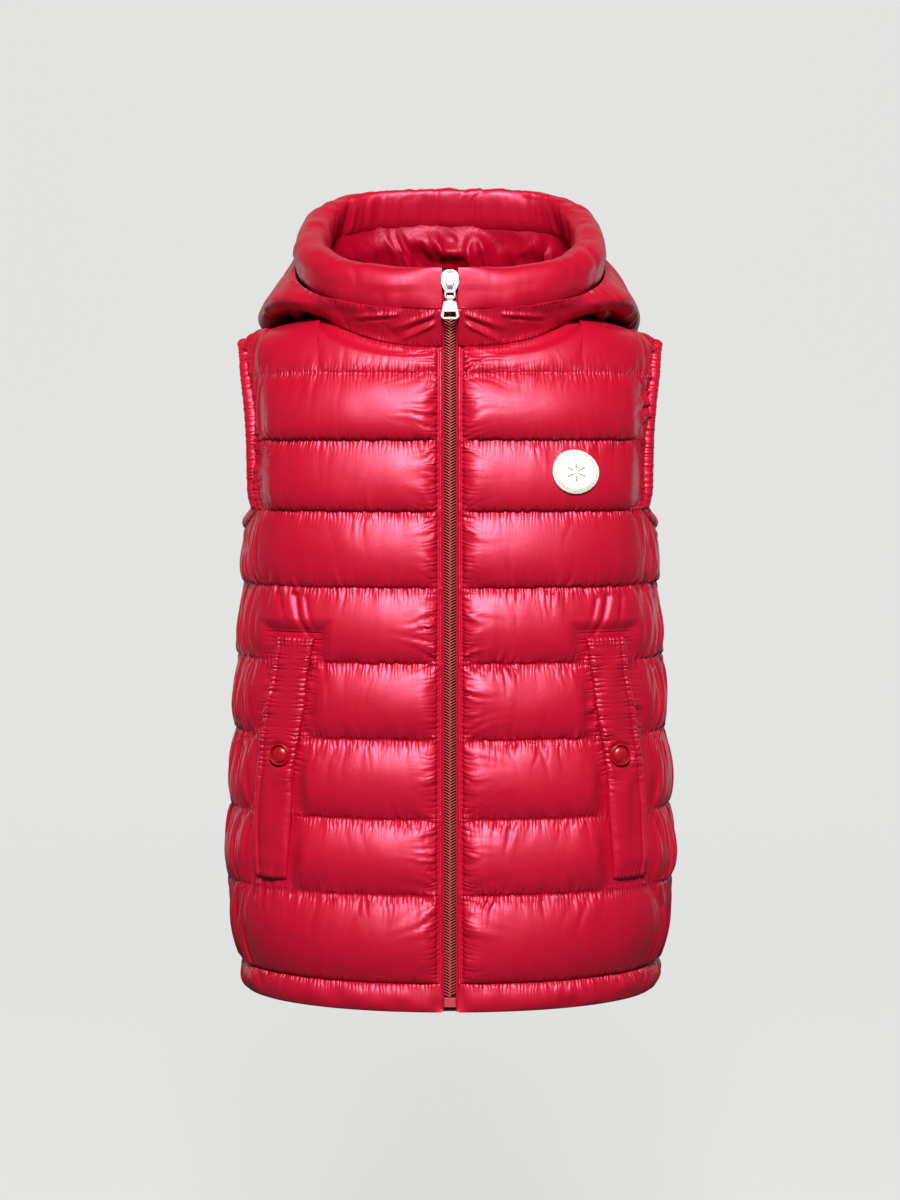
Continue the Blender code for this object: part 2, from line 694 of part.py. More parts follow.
def hood_surface(angle, share):
    """A point of the hood's bag at +X. share runs from 0 at the neck seam to 1 at the rim seam."""
    angle, share = np.broadcast_arrays(np.asarray(angle, float), np.asarray(share, float))
    degrees = np.degrees(angle)
    knots = [(np.interp(angle, NECK_ANGLE, NECK_RADIUS), np.interp(angle, NECK_ANGLE, NECK_Z))]
    knots[0] = (knots[0][0], knots[0][1] + HOOD_NECK_RISE)
    for name in ("root", "low", "reach", "crown"):
        out = read_table(HOOD, HOOD_COLUMNS, name + "_out", degrees)
        knots.append((out, read_table(HOOD, HOOD_COLUMNS, name + "_z", degrees)))
    radius = brim_radius(angle)
    seam_z = brim_top_z(-radius * np.cos(angle)) - BRIM_SEAM_BELOW_TOP - SEAM_GAP
    knots.append((radius + BRIM_SEAM_OUT, seam_z))
    knots = np.array(knots)
    slopes = np.gradient(knots, axis=0)
    at = share * (len(knots) - 1)
    i = np.clip(at.astype(int), 0, len(knots) - 2)
    s = at - i
    values = []
    for k in range(2):
        here, there = pick(knots[:, k], i), pick(knots[:, k], i + 1)
        leave, arrive = pick(slopes[:, k], i), pick(slopes[:, k], i + 1)
        level = here * (1 + 2 * s) * (1 - s) ** 2 + there * s * s * (3 - 2 * s)
        values.append(level + leave * s * (1 - s) ** 2 - arrive * s * s * (1 - s))
    out, z = values
    return np.stack([out * np.sin(angle), -out * np.cos(angle), z], -1)


def pick(stack, index):
    return np.take_along_axis(stack, index[None], axis=0)[0]


def hood_frame(angle, share):
    """Points and outward normals of the bag."""
    small = 1e-3
    point = hood_surface(angle, share)
    low, high = np.maximum(share - small, 0), np.minimum(share + small, 1)
    up = hood_surface(angle, high) - hood_surface(angle, low)
    before, after = np.maximum(angle - small, 0), np.minimum(angle + small, math.pi)
    along = hood_surface(after, share) - hood_surface(before, share)
    return point, unit(np.cross(along, up))


HOOD_ROWS = np.linspace(0, 1, 11)


def hood_grid(first, last, count):
    angle, share = np.meshgrid(np.linspace(first, last, count), HOOD_ROWS)
    return hood_frame(angle, share)


def make_hood_bag(finish):
    split = math.radians(HOOD_STRIP_ANGLE)
    gap = SEAM_GAP / 2 / 0.08
    point, normal = hood_grid(0, split - gap, 17)
    outer, inner = point, point - normal * WALL
    for sheet in (outer, inner):
        sheet[..., 0] = np.maximum(sheet[..., 0], ZIP_EDGE_X)
    wall("hood_side_left", outer, inner, finish)
    wall("hood_side_right", mirrored(outer), mirrored(inner), finish)
    point, normal = hood_grid(split + gap, math.pi, 4)
    normal[:, -1, 0] = 0
    inner = point - unit(normal) * WALL
    for sheet in (point, inner):
        sheet[:, -1, 0] = 0
    outer = np.concatenate([point, mirrored(point)[:, 1:]], axis=1)
    inner = np.concatenate([inner, mirrored(inner)[:, 1:]], axis=1)
    wall("hood_centre", outer, inner, finish)


def lining_sheet(count):
    """The side of the lining that lies against the hood, over the half at +X."""
    angle, share = np.meshgrid(np.linspace(0, math.pi, count), HOOD_ROWS)
    point, normal = hood_frame(angle, share)
    sheet = point - normal * LINING_BEHIND
    radius = brim_radius(angle) - LINING_SEAM_IN
    rim_z = brim_top_z(-brim_radius(angle) * np.cos(angle)) - BRIM_SEAM_BELOW_TOP - LINING_SEAM_DROP
    rim = np.stack([radius * np.sin(angle), -radius * np.cos(angle), rim_z], -1)
    blend = ramp((share - 0.5) / 0.5)[..., None]
    sheet = sheet * (1 - blend) + rim * blend
    along = np.gradient(sheet, axis=1)
    up = np.gradient(sheet, axis=0)
    normal = unit(np.cross(along, up))
    normal[:, -1, 0] = 0
    sheet[:, -1, 0] = 0
    return sheet, unit(normal)


def make_lining(finish):
    sheet, normal = lining_sheet(16)
    inner = sheet - normal * LINING_THICKNESS
    for grid in (sheet, inner):
        grid[..., 0] = np.maximum(grid[..., 0], 0)
        grid[:, 0, 0] = ZIP_EDGE_X
    outer = np.concatenate([sheet, mirrored(sheet)[:, 1:]], axis=1)
    inside = np.concatenate([inner, mirrored(inner)[:, 1:]], axis=1)
    wall("hood_lining", outer, inside, finish)


def make_brim(finish):
    steps = 24
    angle = math.pi * (np.arange(steps + 1) / steps) ** 1.3
    radius = brim_radius(angle)
    centre = np.stack([radius * np.sin(angle), -radius * np.cos(angle)], -1)
    centre[0, 0] = ZIP_EDGE_X
    along = np.gradient(centre, axis=0)
    out = unit(np.stack([along[:, 1], -along[:, 0]], -1))
    out[0] = 0, -1
    out[-1] = 0, 1
    full = ramp((centre[:, 0] - BRIM_PINCH_START_X) / BRIM_PINCH_LENGTH)
    full = np.where(angle > math.pi / 2, 1, full)
    thickness = BRIM_END_THICKNESS + (BRIM_THICKNESS - BRIM_END_THICKNESS) * full
    shift = (BRIM_SEAM_OUT - BRIM_END_THICKNESS / 2) * (1 - full)
    top = brim_top_z(centre[:, 1])
    bottom = top - BRIM_HEIGHT + BRIM_SEAM_RISE * (1 - full**2)
    around = 10
    rings = np.zeros((steps + 1, around, 3))
    for k in range(around):
        turn = 2 * math.pi * (k + 0.5) / around
        level = np.sign(math.sin(turn)) * abs(math.sin(turn)) ** (2 / 2.4)
        beside = np.sign(math.cos(turn)) * abs(math.cos(turn)) ** (2 / 2.4)
        reach = shift + thickness / 2 * beside
        rings[:, k, :2] = centre + out * reach[:, None]
        rings[:, k, 2] = (top + bottom) / 2 + (top - bottom) / 2 * level
    rings[0, :, 0] = ZIP_EDGE_X
    rings[-1, :, 0] = 0
    whole = np.concatenate([rings, (rings[:-1] * (-1, 1, 1))[::-1]])
    sweep("hood_brim", whole, finish, closed=False)


# --- pockets, snaps and patch ---------------------------------------------------------------


def front_point(x, z):
    """Bare point and outward normal of the left front."""
    x, z = np.broadcast_arrays(np.asarray(x, float), np.asarray(z, float))

    def at(u, v):
        return np.stack([u, -body_depth(-1, u, v), v], -1)

    small = 5e-4
    along = at(x + small, z) - at(x - small, z)
    up = at(x, z + small) - at(x, z - small)
    return at(x, z), unit(np.cross(along, up))


def make_welts(finish):
    rows = 2 * WELT_PUCKERS + 1
    heights = np.linspace(WELT[0][0], WELT[-1][0], rows)
    front = read_table(WELT, WELT_COLUMNS, "front_edge_x", heights)
    back = read_table(WELT, WELT_COLUMNS, "side_edge_x", heights)
    steps = np.array([0, 0.12, 0.5, 0.88, 1])
    x = front[:, None] + (back - front)[:, None] * steps
    point, normal = front_point(x, HEM_Z + heights[:, None] + x * 0)
    wave = (-1.0) ** np.arange(rows)[:, None] * WELT_PUCKER_HEIGHT
    crown = np.array([-0.0009, 0, 0.0002, 0, -0.0009])
    above = WELT_UNDER + WELT_THICKNESS + crown + wave
    outer = point + normal * above[..., None]
    inner = point + normal * WELT_UNDER
    keep = list(range(0, rows, 4))
    wall("pocket_welt_left", outer, inner, finish, inner_rows=keep)
    wall("pocket_welt_right", mirrored(outer), mirrored(inner), finish, inner_rows=keep)


# The snap cap's turned profile as (rise, radius), in shares of the cap's own.
SNAP_PROFILE = ((0.0, 1.0), (0.35, 1.0), (0.62, 0.86), (0.60, 0.78), (0.88, 0.55), (1.0, 0.2))


def make_snaps(finish):
    point, normal = front_point(SNAP_X, HEM_Z + SNAP_HEIGHT)
    base = point + normal * (WELT_UNDER + WELT_THICKNESS + WELT_PUCKER_HEIGHT + 2 * SEAM_GAP)
    side = unit(np.cross(normal, (0, 0, 1.0)))
    up = np.cross(side, normal)
    turn = np.linspace(0, 2 * math.pi, 20, endpoint=False)[:, None]
    rings = []
    for rise, radius in SNAP_PROFILE:
        spoke = (side * np.cos(turn) + up * np.sin(turn)) * SNAP_RADIUS * radius
        rings.append(base + spoke + normal * SNAP_RISE * rise)
    rings = np.array(rings)
    sweep("snap_cap_left", rings, finish, closed=False)
    sweep("snap_cap_right", rings * (-1, 1, 1), finish, closed=False)


def baffle_at(height):
    k = int(np.searchsorted(QUILT_HEIGHTS, height) - 1)
    return k, QUILT_HEIGHTS[k], QUILT_HEIGHTS[k + 1]


def make_patch(finish):
    k, low, high = baffle_at(PATCH_HEIGHT)
    turn = np.linspace(0, 2 * math.pi, 25)[None]
    radius = PATCH_RADIUS * np.array([0.12, 0.5, 0.85, 1.0])[:, None]
    x = PATCH_X + radius * np.cos(turn)
    height = PATCH_HEIGHT + radius * np.sin(turn)
    point, normal = front_point(x, HEM_Z + height)
    raised = puff(-1, x, HEM_Z + height, k, (height - low) / (high - low))
    under = point + normal * (raised + 2 * SEAM_GAP)[..., None]
    edge = np.array([1, 1, 0.9, 0.55])[:, None, None]
    over = under + normal * PATCH_THICKNESS * edge
    points = np.concatenate([under[:, :-1].reshape(-1, 3), over[:, :-1].reshape(-1, 3)])
    around, rings = 24, 4
    faces = []
    for layer in range(2):
        base = layer * around * rings
        faces.append(tuple(base + n for n in range(around)))
        for r in range(rings - 1):
            for n in range(around):
                after = (n + 1) % around
                a, b = base + r * around, base + (r + 1) * around
                faces.append((a + n, a + after, b + after, b + n))
    low_edge, high_edge = (rings - 1) * around, (2 * rings - 1) * around
    for n in range(around):
        after = (n + 1) % around
        faces.append((low_edge + n, low_edge + after, high_edge + after, high_edge + n))
    add_object("chest_patch", points, faces, finish)


# --- zip ------------------------------------------------------------------------------------


def front_line():
    """Heights and y of the front's edge beside the zip, from the hem to the hood's rim."""
    body_z = np.linspace(HEM_Z, NECK_FRONT_Z, 60)
    body_y = -body_depth(-1, ZIP_EDGE_X, body_z)
    hood = hood_surface(np.zeros(20), np.linspace(0, 1, 20))
    heights = np.concatenate([body_z, hood[1:, 2], [TAPE_TOP_Z]])
    return heights, np.concatenate([body_y, hood[1:, 1], hood[-1:, 1]])


def strip_along_zip(name, x_low, x_high, behind, thickness, bottom, top, finish):
    line_z, line_y = front_line()
    z = np.concatenate([np.linspace(bottom, -0.10, 8), np.linspace(-0.085, top, 14)])
    y = np.interp(z, line_z, line_y) + behind
    rings = np.zeros((len(z), 4, 3))
    corners = ((x_low, -0.5), (x_high, -0.5), (x_high, 0.5), (x_low, 0.5))
    for k, (x, share) in enumerate(corners):
        rings[:, k, 0] = x
        rings[:, k, 1] = y + share * thickness
        rings[:, k, 2] = z
    return sweep(name, rings, finish, closed=False)


def make_zip(tape_finish, chain_finish, box_finish):
    for name, sign in (("zip_tape_left", 1), ("zip_tape_right", -1)):
        x_low, x_high = sorted((sign * TAPE_INNER_X, sign * TAPE_OUTER_X))
        strip_along_zip(
            name, x_low, x_high, TAPE_BEHIND, TAPE_THICKNESS, TAPE_BOTTOM_Z, TAPE_TOP_Z, tape_finish
        )
    strip_along_zip(
        "zip_chain", -CHAIN_HALF_WIDTH, CHAIN_HALF_WIDTH, CHAIN_BEHIND, CHAIN_THICKNESS,
        ZIP_BOX_TOP_Z + SEAM_GAP, CHAIN_TOP_Z, chain_finish,
    )
    middle = -float(body_depth(-1, ZIP_EDGE_X, ZIP_BOX_TOP_Z)) + CHAIN_BEHIND
    low, high, bevel = ZIP_BOX_BOTTOM_Z, ZIP_BOX_TOP_Z, ZIP_BOX_BEVEL
    front, behind = middle - ZIP_BOX_FRONT, middle + ZIP_BOX_BEHIND
    outline = [(front + bevel, low), (behind, low), (behind, high)]
    outline += [(front + bevel, high), (front, high - bevel), (front, low + bevel)]
    prism("zip_box", outline, 0, -ZIP_BOX_HALF_WIDTH, ZIP_BOX_HALF_WIDTH, box_finish)


def two_sided(right):
    """A whole outline from its half at +X, given from the bottom to the top."""
    return right + [(-x, z) for x, z in reversed(right)]


def rectangle(half_width, low, high):
    return two_sided([(half_width, low), (half_width, high)])


def make_pull(finish):
    line_z, line_y = front_line()
    tape_y = float(np.interp(PLATE_TOP_Z, line_z, line_y)) + TAPE_BEHIND
    plate_front = tape_y - PLATE_BEFORE_TAPE - PLATE_THICKNESS
    outline = two_sided([(x, PLATE_BOTTOM_Z + z) for x, z in PLATE_OUTLINE])
    slider = prism("zip_slider", outline, 1, plate_front, tape_y - PLATE_BEFORE_TAPE, finish)
    near, far = [tape_y + behind for behind in SLIDER_BACK_BEHIND_TAPE]
    below, above = [PLATE_TOP_Z - drop for drop in SLIDER_NECK_BELOW_TOP]
    outline = rectangle(SLIDER_NECK_HALF_WIDTH, below, above)
    neck = prism("slider_neck", outline, 1, plate_front + OVERLAP, far + OVERLAP / 2, finish)
    outline = rectangle(SLIDER_BACK_HALF_WIDTH, *SLIDER_BACK_Z)
    back = prism("slider_back", outline, 1, near, far, finish)
    arch = [(plate_front - before, z) for before, z in BRIDGE_OUTLINE]
    bridge = prism("slider_bridge", arch, 0, -BRIDGE_HALF_WIDTH, BRIDGE_HALF_WIDTH, finish)
    for tool in (neck, back, bridge):
        combine(slider, tool, "UNION")

    axis_y = plate_front - LINK_BEFORE_PLATE
    make_link(axis_y, finish)
    make_tab(axis_y, finish)


def make_link(axis_y, finish):
    """A closed wire loop. Its upper bar lies in the slider's bridge, on the link's axis."""
    wide, corner = LINK_HALF_WIDTH, LINK_CORNER
    low, high = LINK_AXIS_Z - LINK_LENGTH, LINK_AXIS_Z
    path = []
    corners = ((wide, high, 0), (-wide, high, 90), (-wide, low, 180), (wide, low, 270))
    for x, z, start in corners:
        middle_x, middle_z = x - math.copysign(corner, x), z + (corner if z == low else -corner)
        for step in range(4):
            turn = math.radians(start + 30 * step)
            path.append((middle_x + corner * math.cos(turn), middle_z + corner * math.sin(turn)))
    path = np.array(path)
    tangent = unit(np.roll(path, -1, 0) - np.roll(path, 1, 0))
    out = np.stack([tangent[:, 1], -tangent[:, 0]], -1)
    rings = np.zeros((len(path), 8, 3))
    for k in range(8):
        turn = 2 * math.pi * (k + 0.5) / 8
        rings[:, k, 0::2] = path + out * LINK_RADIUS * math.cos(turn)
        rings[:, k, 1] = axis_y + LINK_RADIUS * math.sin(turn)
    sweep("pull_link", rings, finish, closed=True, origin=(0, axis_y, LINK_AXIS_Z))


def circle(radius, count):
    turns = [2 * math.pi * (k + 0.5) / count for k in range(count)]
    return [(radius * math.cos(turn), radius * math.sin(turn)) for turn in turns]


def make_tab(axis_y, finish):
    """A flat pull that hangs from the link's lower bar by a rolled eye on the tab's axis."""
    axis_z = LINK_AXIS_Z - LINK_LENGTH
    origin = (0, axis_y, axis_z)
    top, bottom = axis_z - TAB_TOP_BELOW_AXIS, axis_z - TAB_LENGTH
    narrow, wide = TAB_TOP_HALF_WIDTH, TAB_BOTTOM_HALF_WIDTH
    right = [(wide - TAB_CORNER, bottom), (wide - TAB_BEVEL, bottom + TAB_BEVEL)]
    right += [(wide, bottom + TAB_CORNER), (narrow, top - TAB_BEVEL), (narrow - TAB_BEVEL, top)]
    front, behind = axis_y - TAB_THICKNESS / 2, axis_y + TAB_THICKNESS / 2
    tab = prism("pull_tab", two_sided(right), 1, front, behind, finish, origin)
    outline = [(axis_y + y, axis_z + z) for y, z in circle(EYE_RADIUS, 12)]
    eye = prism("tab_eye", outline, 0, -EYE_HALF_WIDTH, EYE_HALF_WIDTH, finish)
    outline = rectangle(EYE_HALF_WIDTH - OVERLAP / 2, top - OVERLAP, axis_z - EYE_RADIUS + OVERLAP)
    inset = OVERLAP / 4
    stem = prism("tab_stem", outline, 1, front + inset, behind - inset, finish)
    outline = [(axis_y + y, axis_z + z) for y, z in circle(EYE_BORE_RADIUS, 12)]
    bore = prism("tab_bore", outline, 0, -2 * EYE_HALF_WIDTH, 2 * EYE_HALF_WIDTH, finish)
    low, high = [bottom + rise for rise in WINDOW_ABOVE_BOTTOM]
    outline = two_sided(list(zip(WINDOW_HALF_WIDTHS, (low, high))))
    window = prism("tab_window", outline, 1, front - TAB_THICKNESS, behind + TAB_THICKNESS, finish)
    combine(tab, stem, "UNION")
    combine(tab, eye, "UNION")
    combine(tab, bore, "DIFFERENCE")
    combine(tab, window, "DIFFERENCE")


# --- assembly -------------------------------------------------------------------------------


def main():
    for thing in list(bpy.data.objects):
        bpy.data.objects.remove(thing)
    shell = material("crimson_nylon", (0.55, 0.01, 0.045), 0.38)
    lining = material("lining_nylon", (0.45, 0.01, 0.04), 0.42)
    tape = material("zip_tape", (0.18, 0.005, 0.012), 0.8)
    chain = material("zip_teeth", (0.42, 0.09, 0.09), 0.4, 0.4)
    moulded = material("zip_box_red", (0.42, 0.03, 0.05), 0.4)
    metal = material("polished_metal", (0.78, 0.77, 0.76), 0.16, 1.0)
    lacquer = material("snap_lacquer", (0.42, 0.008, 0.025), 0.25)
    felt = material("patch_felt", (0.80, 0.74, 0.66), 0.9)

    front = make_fronts(shell)
    back = make_back(shell)
    make_hem_band(shell)
    make_armhole_bands(front, back, shell)
    make_hood_bag(shell)
    make_brim(shell)
    make_lining(lining)
    make_welts(shell)
    make_snaps(lacquer)
    make_patch(felt)
    make_zip(tape, chain, moulded)
    make_pull(metal)


main()
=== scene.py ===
# %% [markdown]
# # A child's hooded puffer vest
# This lesson dresses a plain model of a quilted vest. The plain model is the frame: hollow
# panels, a hood, a zip with a swinging pull, all in metres with the front facing -Y. Each step
# below makes one sewn or moulded piece with its folds, stitches and finish, and hangs it on the
# body of the frame that it moves with.

import math

import bmesh
import bpy
import numpy as np
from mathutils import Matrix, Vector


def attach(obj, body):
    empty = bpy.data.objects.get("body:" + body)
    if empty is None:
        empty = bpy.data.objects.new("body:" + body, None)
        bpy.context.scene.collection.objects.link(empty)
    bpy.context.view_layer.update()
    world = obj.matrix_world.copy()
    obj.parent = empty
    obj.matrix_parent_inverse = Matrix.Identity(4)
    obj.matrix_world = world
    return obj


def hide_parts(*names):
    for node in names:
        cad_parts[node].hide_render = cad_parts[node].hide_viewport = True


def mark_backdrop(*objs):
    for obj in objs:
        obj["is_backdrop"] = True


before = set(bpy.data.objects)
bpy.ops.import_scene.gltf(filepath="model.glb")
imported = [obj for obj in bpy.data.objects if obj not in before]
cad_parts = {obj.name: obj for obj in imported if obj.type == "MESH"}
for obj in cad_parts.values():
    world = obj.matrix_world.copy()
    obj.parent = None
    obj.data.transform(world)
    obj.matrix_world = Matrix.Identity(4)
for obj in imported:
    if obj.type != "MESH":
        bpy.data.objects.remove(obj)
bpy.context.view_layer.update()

# %% [markdown]
# ## Backdrop, light and camera
# Glossy nylon shows what it reflects, so the room matters more than for a matt cloth. A pale
# sweep runs from the floor up behind the vest with no corner in it. One big soft light hangs
# above the front, and four tall, weak ones stand beside and behind, because small lights would
# put hard spots on every fold. A pale card in front gives the zip's metal a soft gleam.

# %% Small tools for objects
def named_object(name, mesh):
    made = bpy.data.objects.new(name, mesh)
    bpy.context.scene.collection.objects.link(made)
    return made

def turn_outwards(mesh):
    work = bmesh.new()
    work.from_mesh(mesh)
    bmesh.ops.recalc_face_normals(work, faces=work.faces)
    work.to_mesh(mesh)
    work.free()

def cloth_object(name, points, faces, finish, sharp=75):
    """A smooth closed mesh with its faces turned outwards."""
    mesh = bpy.data.meshes.new(name)
    mesh.from_pydata(np.asarray(points).tolist(), [], faces)
    mesh.materials.append(finish)
    turn_outwards(mesh)
    mesh.shade_smooth()
    mesh.set_sharp_from_angle(angle=math.radians(sharp))
    made = named_object(name, mesh)
    print(f"{name}: {len(mesh.vertices)} points, {len(mesh.polygons)} faces")
    return made

# %% Camera
CAMERA_DISTANCE = 1.8
CAMERA_HEIGHT = -0.084
FRAME_HEIGHT = 0.84  # metres that the view takes in at the vest
SENSOR = 36.0
CAMERA_SHIFT = -170 / 1200  # slides the view down by this share of its height, to centre the vest
NEAREST_SEEN = 0.05

camera_data = bpy.data.cameras.new("camera")
camera_data.sensor_fit = "VERTICAL"
camera_data.sensor_height = SENSOR
camera_data.lens = SENSOR * CAMERA_DISTANCE / FRAME_HEIGHT
camera_data.shift_y = CAMERA_SHIFT
camera_data.clip_start = NEAREST_SEEN
camera = bpy.data.objects.new("camera", camera_data)
camera.location = (0, -CAMERA_DISTANCE, CAMERA_HEIGHT)
camera.rotation_euler = (math.pi / 2, 0, 0)
bpy.context.scene.collection.objects.link(camera)
bpy.context.scene.camera = camera
print(f"camera: {camera_data.lens:.1f} mm lens, {CAMERA_DISTANCE} m in front of the vest")

# %% Lights
# name: place, point that it faces, width and height in metres, watts
LIGHTS = {
    "key_above_front": ((0.0, -3.85, 2.58), (0, -0.05, -0.20), (1.2, 1.4), 455.0),
    "left_tall": ((-1.6, -0.3, 0.1), (0, 0, -0.2), (0.4, 1.3), 0.9),
    "right_tall": ((1.6, -0.3, 0.1), (0, 0, -0.2), (0.4, 1.3), 0.9),
    "back_left": ((-1.9, 1.7, -0.35), (0, 0.05, -0.25), (0.5, 1.3), 4.6),
    "back_right": ((1.9, 1.7, -0.35), (0, 0.05, -0.25), (0.5, 1.3), 4.6),
    "card_for_metal": ((0.0, -3.80, 0.20), (0, -0.10, 0.0), (0.8, 0.8), 0.9),
}

def add_light(name, place, towards, size, watts):
    data = bpy.data.lights.new(name, "AREA")
    data.shape = "RECTANGLE"
    data.size, data.size_y = size
    data.energy = watts
    made = bpy.data.objects.new(name, data)
    made.location = place
    aim = Vector(towards) - Vector(place)
    made.rotation_euler = aim.to_track_quat("-Z", "Y").to_euler()
    bpy.context.scene.collection.objects.link(made)

for light_name, row in LIGHTS.items():
    add_light(light_name, *row)
print(f"{len(LIGHTS)} lights, {sum(row[-1] for row in LIGHTS.values()):.1f} watts in all")

# %% Room glow
PALE = (0.776, 0.776, 0.768)
ROOM_GLOW = 0.012  # what the room gives to the cloth, as a share of its look
world = bpy.data.worlds.new("studio")
bpy.context.scene.world = world
world.use_nodes = True

def seen_and_felt(tree, seen, felt):
    """A strength that is full where the eye sees the room and low where it lights the cloth."""
    path = tree.nodes.new("ShaderNodeLightPath")
    spread = tree.nodes.new("ShaderNodeMapRange")
    spread.inputs["To Min"].default_value = felt
    spread.inputs["To Max"].default_value = seen
    tree.links.new(path.outputs["Is Camera Ray"], spread.inputs["Value"])
    return spread.outputs["Result"]

background = world.node_tree.nodes["Background"]
background.inputs["Color"].default_value = (*PALE, 1)
world.node_tree.links.new(seen_and_felt(world.node_tree, 1.0, ROOM_GLOW), background.inputs["Strength"])
bpy.context.scene.view_settings.view_transform = "Standard"

# %% Backdrop sweep
FLOOR_Z = -0.80
SWEEP_FRONT, SWEEP_BACK, SWEEP_TOP = -3.0, 2.9, 3.4
SWEEP_HALF_WIDTH = 4.2
SWEEP_RADIUS = 0.9
SWEEP_BENDS = 25
FLOOR_BENDS = 8  # the foot of the bend still counts as floor
PAPER_SHADE = 0.10  # how much of the paper's look comes from the lamps, with their shadows
PAPER_SEEN = 0.90
WALL_FELT, FLOOR_FELT = 0.65, 0.03  # glow that the cloth reflects

def backdrop_paper(name, felt):
    paper = bpy.data.materials.new(name)
    paper.use_nodes = True
    shader = paper.node_tree.nodes["Principled BSDF"]
    shader.inputs["Base Color"].default_value = (*(PAPER_SHADE * c for c in PALE), 1)
    shader.inputs["Roughness"].default_value = 1.0
    shader.inputs["Specular IOR Level"].default_value = 0.0
    shader.inputs["Emission Color"].default_value = (*PALE, 1)
    glow = seen_and_felt(paper.node_tree, PAPER_SEEN, felt)
    paper.node_tree.links.new(glow, shader.inputs["Emission Strength"])
    return paper

def make_backdrop():
    turns = np.radians(np.linspace(0, 90, SWEEP_BENDS))
    bend_y = SWEEP_BACK - SWEEP_RADIUS + SWEEP_RADIUS * np.sin(turns)
    bend_z = FLOOR_Z + SWEEP_RADIUS - SWEEP_RADIUS * np.cos(turns)
    line = [(SWEEP_FRONT, FLOOR_Z), *zip(bend_y, bend_z), (SWEEP_BACK, SWEEP_TOP)]
    points = [(x, y, z) for x in (-SWEEP_HALF_WIDTH, SWEEP_HALF_WIDTH) for y, z in line]
    count = len(line)
    faces = [(i, i + 1, count + i + 1, count + i) for i in range(count - 1)]
    mesh = bpy.data.meshes.new("backdrop")
    mesh.from_pydata(points, [], faces)
    mesh.shade_smooth()
    mesh.materials.append(backdrop_paper("floor_paper", FLOOR_FELT))
    mesh.materials.append(backdrop_paper("wall_paper", WALL_FELT))
    for i, face in enumerate(mesh.polygons):
        face.material_index = 1 if i > FLOOR_BENDS else 0
    print(f"backdrop: {2 * SWEEP_HALF_WIDTH} m wide, {SWEEP_TOP - FLOOR_Z} m tall")
    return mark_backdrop(named_object("backdrop", mesh))

make_backdrop()

# %% [markdown]
# ## Folds in numbers
# Down-filled nylon is never smooth: each seam is gathered a little, so short sharp valleys run
# away from it and fade out, with calm stretches between. Modelling each by hand would take days,
# and a plain sine looks like corduroy. So the folds come from a repeatable noise that is read
# along the seam, bent a little, and faded with the distance from the seam.

# %% Repeatable noise
PRIMES = (374761393, 668265263, 982451653, 1274126177)  # they scatter neighbouring whole numbers
ALL_BITS = 0xFFFFFFFF

def lattice(i, j, seed):
    """A fixed value from -1 to 1 for each pair of whole numbers."""
    mixed = (i * PRIMES[0] + j * PRIMES[1] + seed * PRIMES[2]) & ALL_BITS
    mixed = ((mixed ^ (mixed >> 13)) * PRIMES[3]) & ALL_BITS
    return (mixed ^ (mixed >> 16)) / 2.0**31 - 1

def noise(u, v, seed):
    """Smooth noise from -1 to 1 over a plane, with one bump a unit."""
    u, v = np.broadcast_arrays(np.asarray(u, float), np.asarray(v, float))
    i, j = np.floor(u).astype(np.int64), np.floor(v).astype(np.int64)
    a, b = u - i, v - j
    a = a**3 * (a * (a * 6 - 15) + 10)
    b = b**3 * (b * (b * 6 - 15) + 10)
    low = lattice(i, j, seed) * (1 - a) + lattice(i + 1, j, seed) * a
    high = lattice(i, j + 1, seed) * (1 - a) + lattice(i + 1, j + 1, seed) * a
    return low * (1 - b) + high * b

print("noise at four points:", np.round(noise([0.5, 1.5, 2.5, 3.5], 0.5, 1), 3))

# %% Curves that shape a fold
def ramp(share):
    """0 below 0, 1 above 1, and smooth between them."""
    s = np.clip(share, 0, 1)
    return s * s * (3 - 2 * s)

def ridged(wave, gain=1.5, drop=0.5):
    """Turns smooth noise into sharp valleys with round ridges between them."""
    return gain * np.abs(wave) - drop

def hump(distance, width):
    """A bell curve: 1 on the line, and next to nothing two widths away."""
    return np.exp(-((distance / width) ** 2))

def half_round(distance, half_width):
    """The section of a round roll: 1 on its middle line, 0 from its edges on."""
    return np.sqrt(np.clip(1 - (distance / half_width) ** 2, 0, 1))

print("a roll's section:", np.round(half_round(np.linspace(-1, 1, 5), 1.0), 3))

# %% Gathers along a seam
# fold spacing, height as a share of it, reach from the seam, all in metres
FINE_PLEATS = (0.0022, 0.46, 0.0042)
MIDDLE_PLEATS = (0.0044, 0.32, 0.0085)
LONG_PLEATS = (0.0100, 0.07, 0.0230)
CALM_LENGTH = 0.026  # busy and calm stretches take turns about this often
SEAM_PIN = 0.0022  # the stitches hold the cloth down this near to the seam
JUST_OFF = 1e-5  # moves a distance off 0, so that all of it counts as one side of the seam

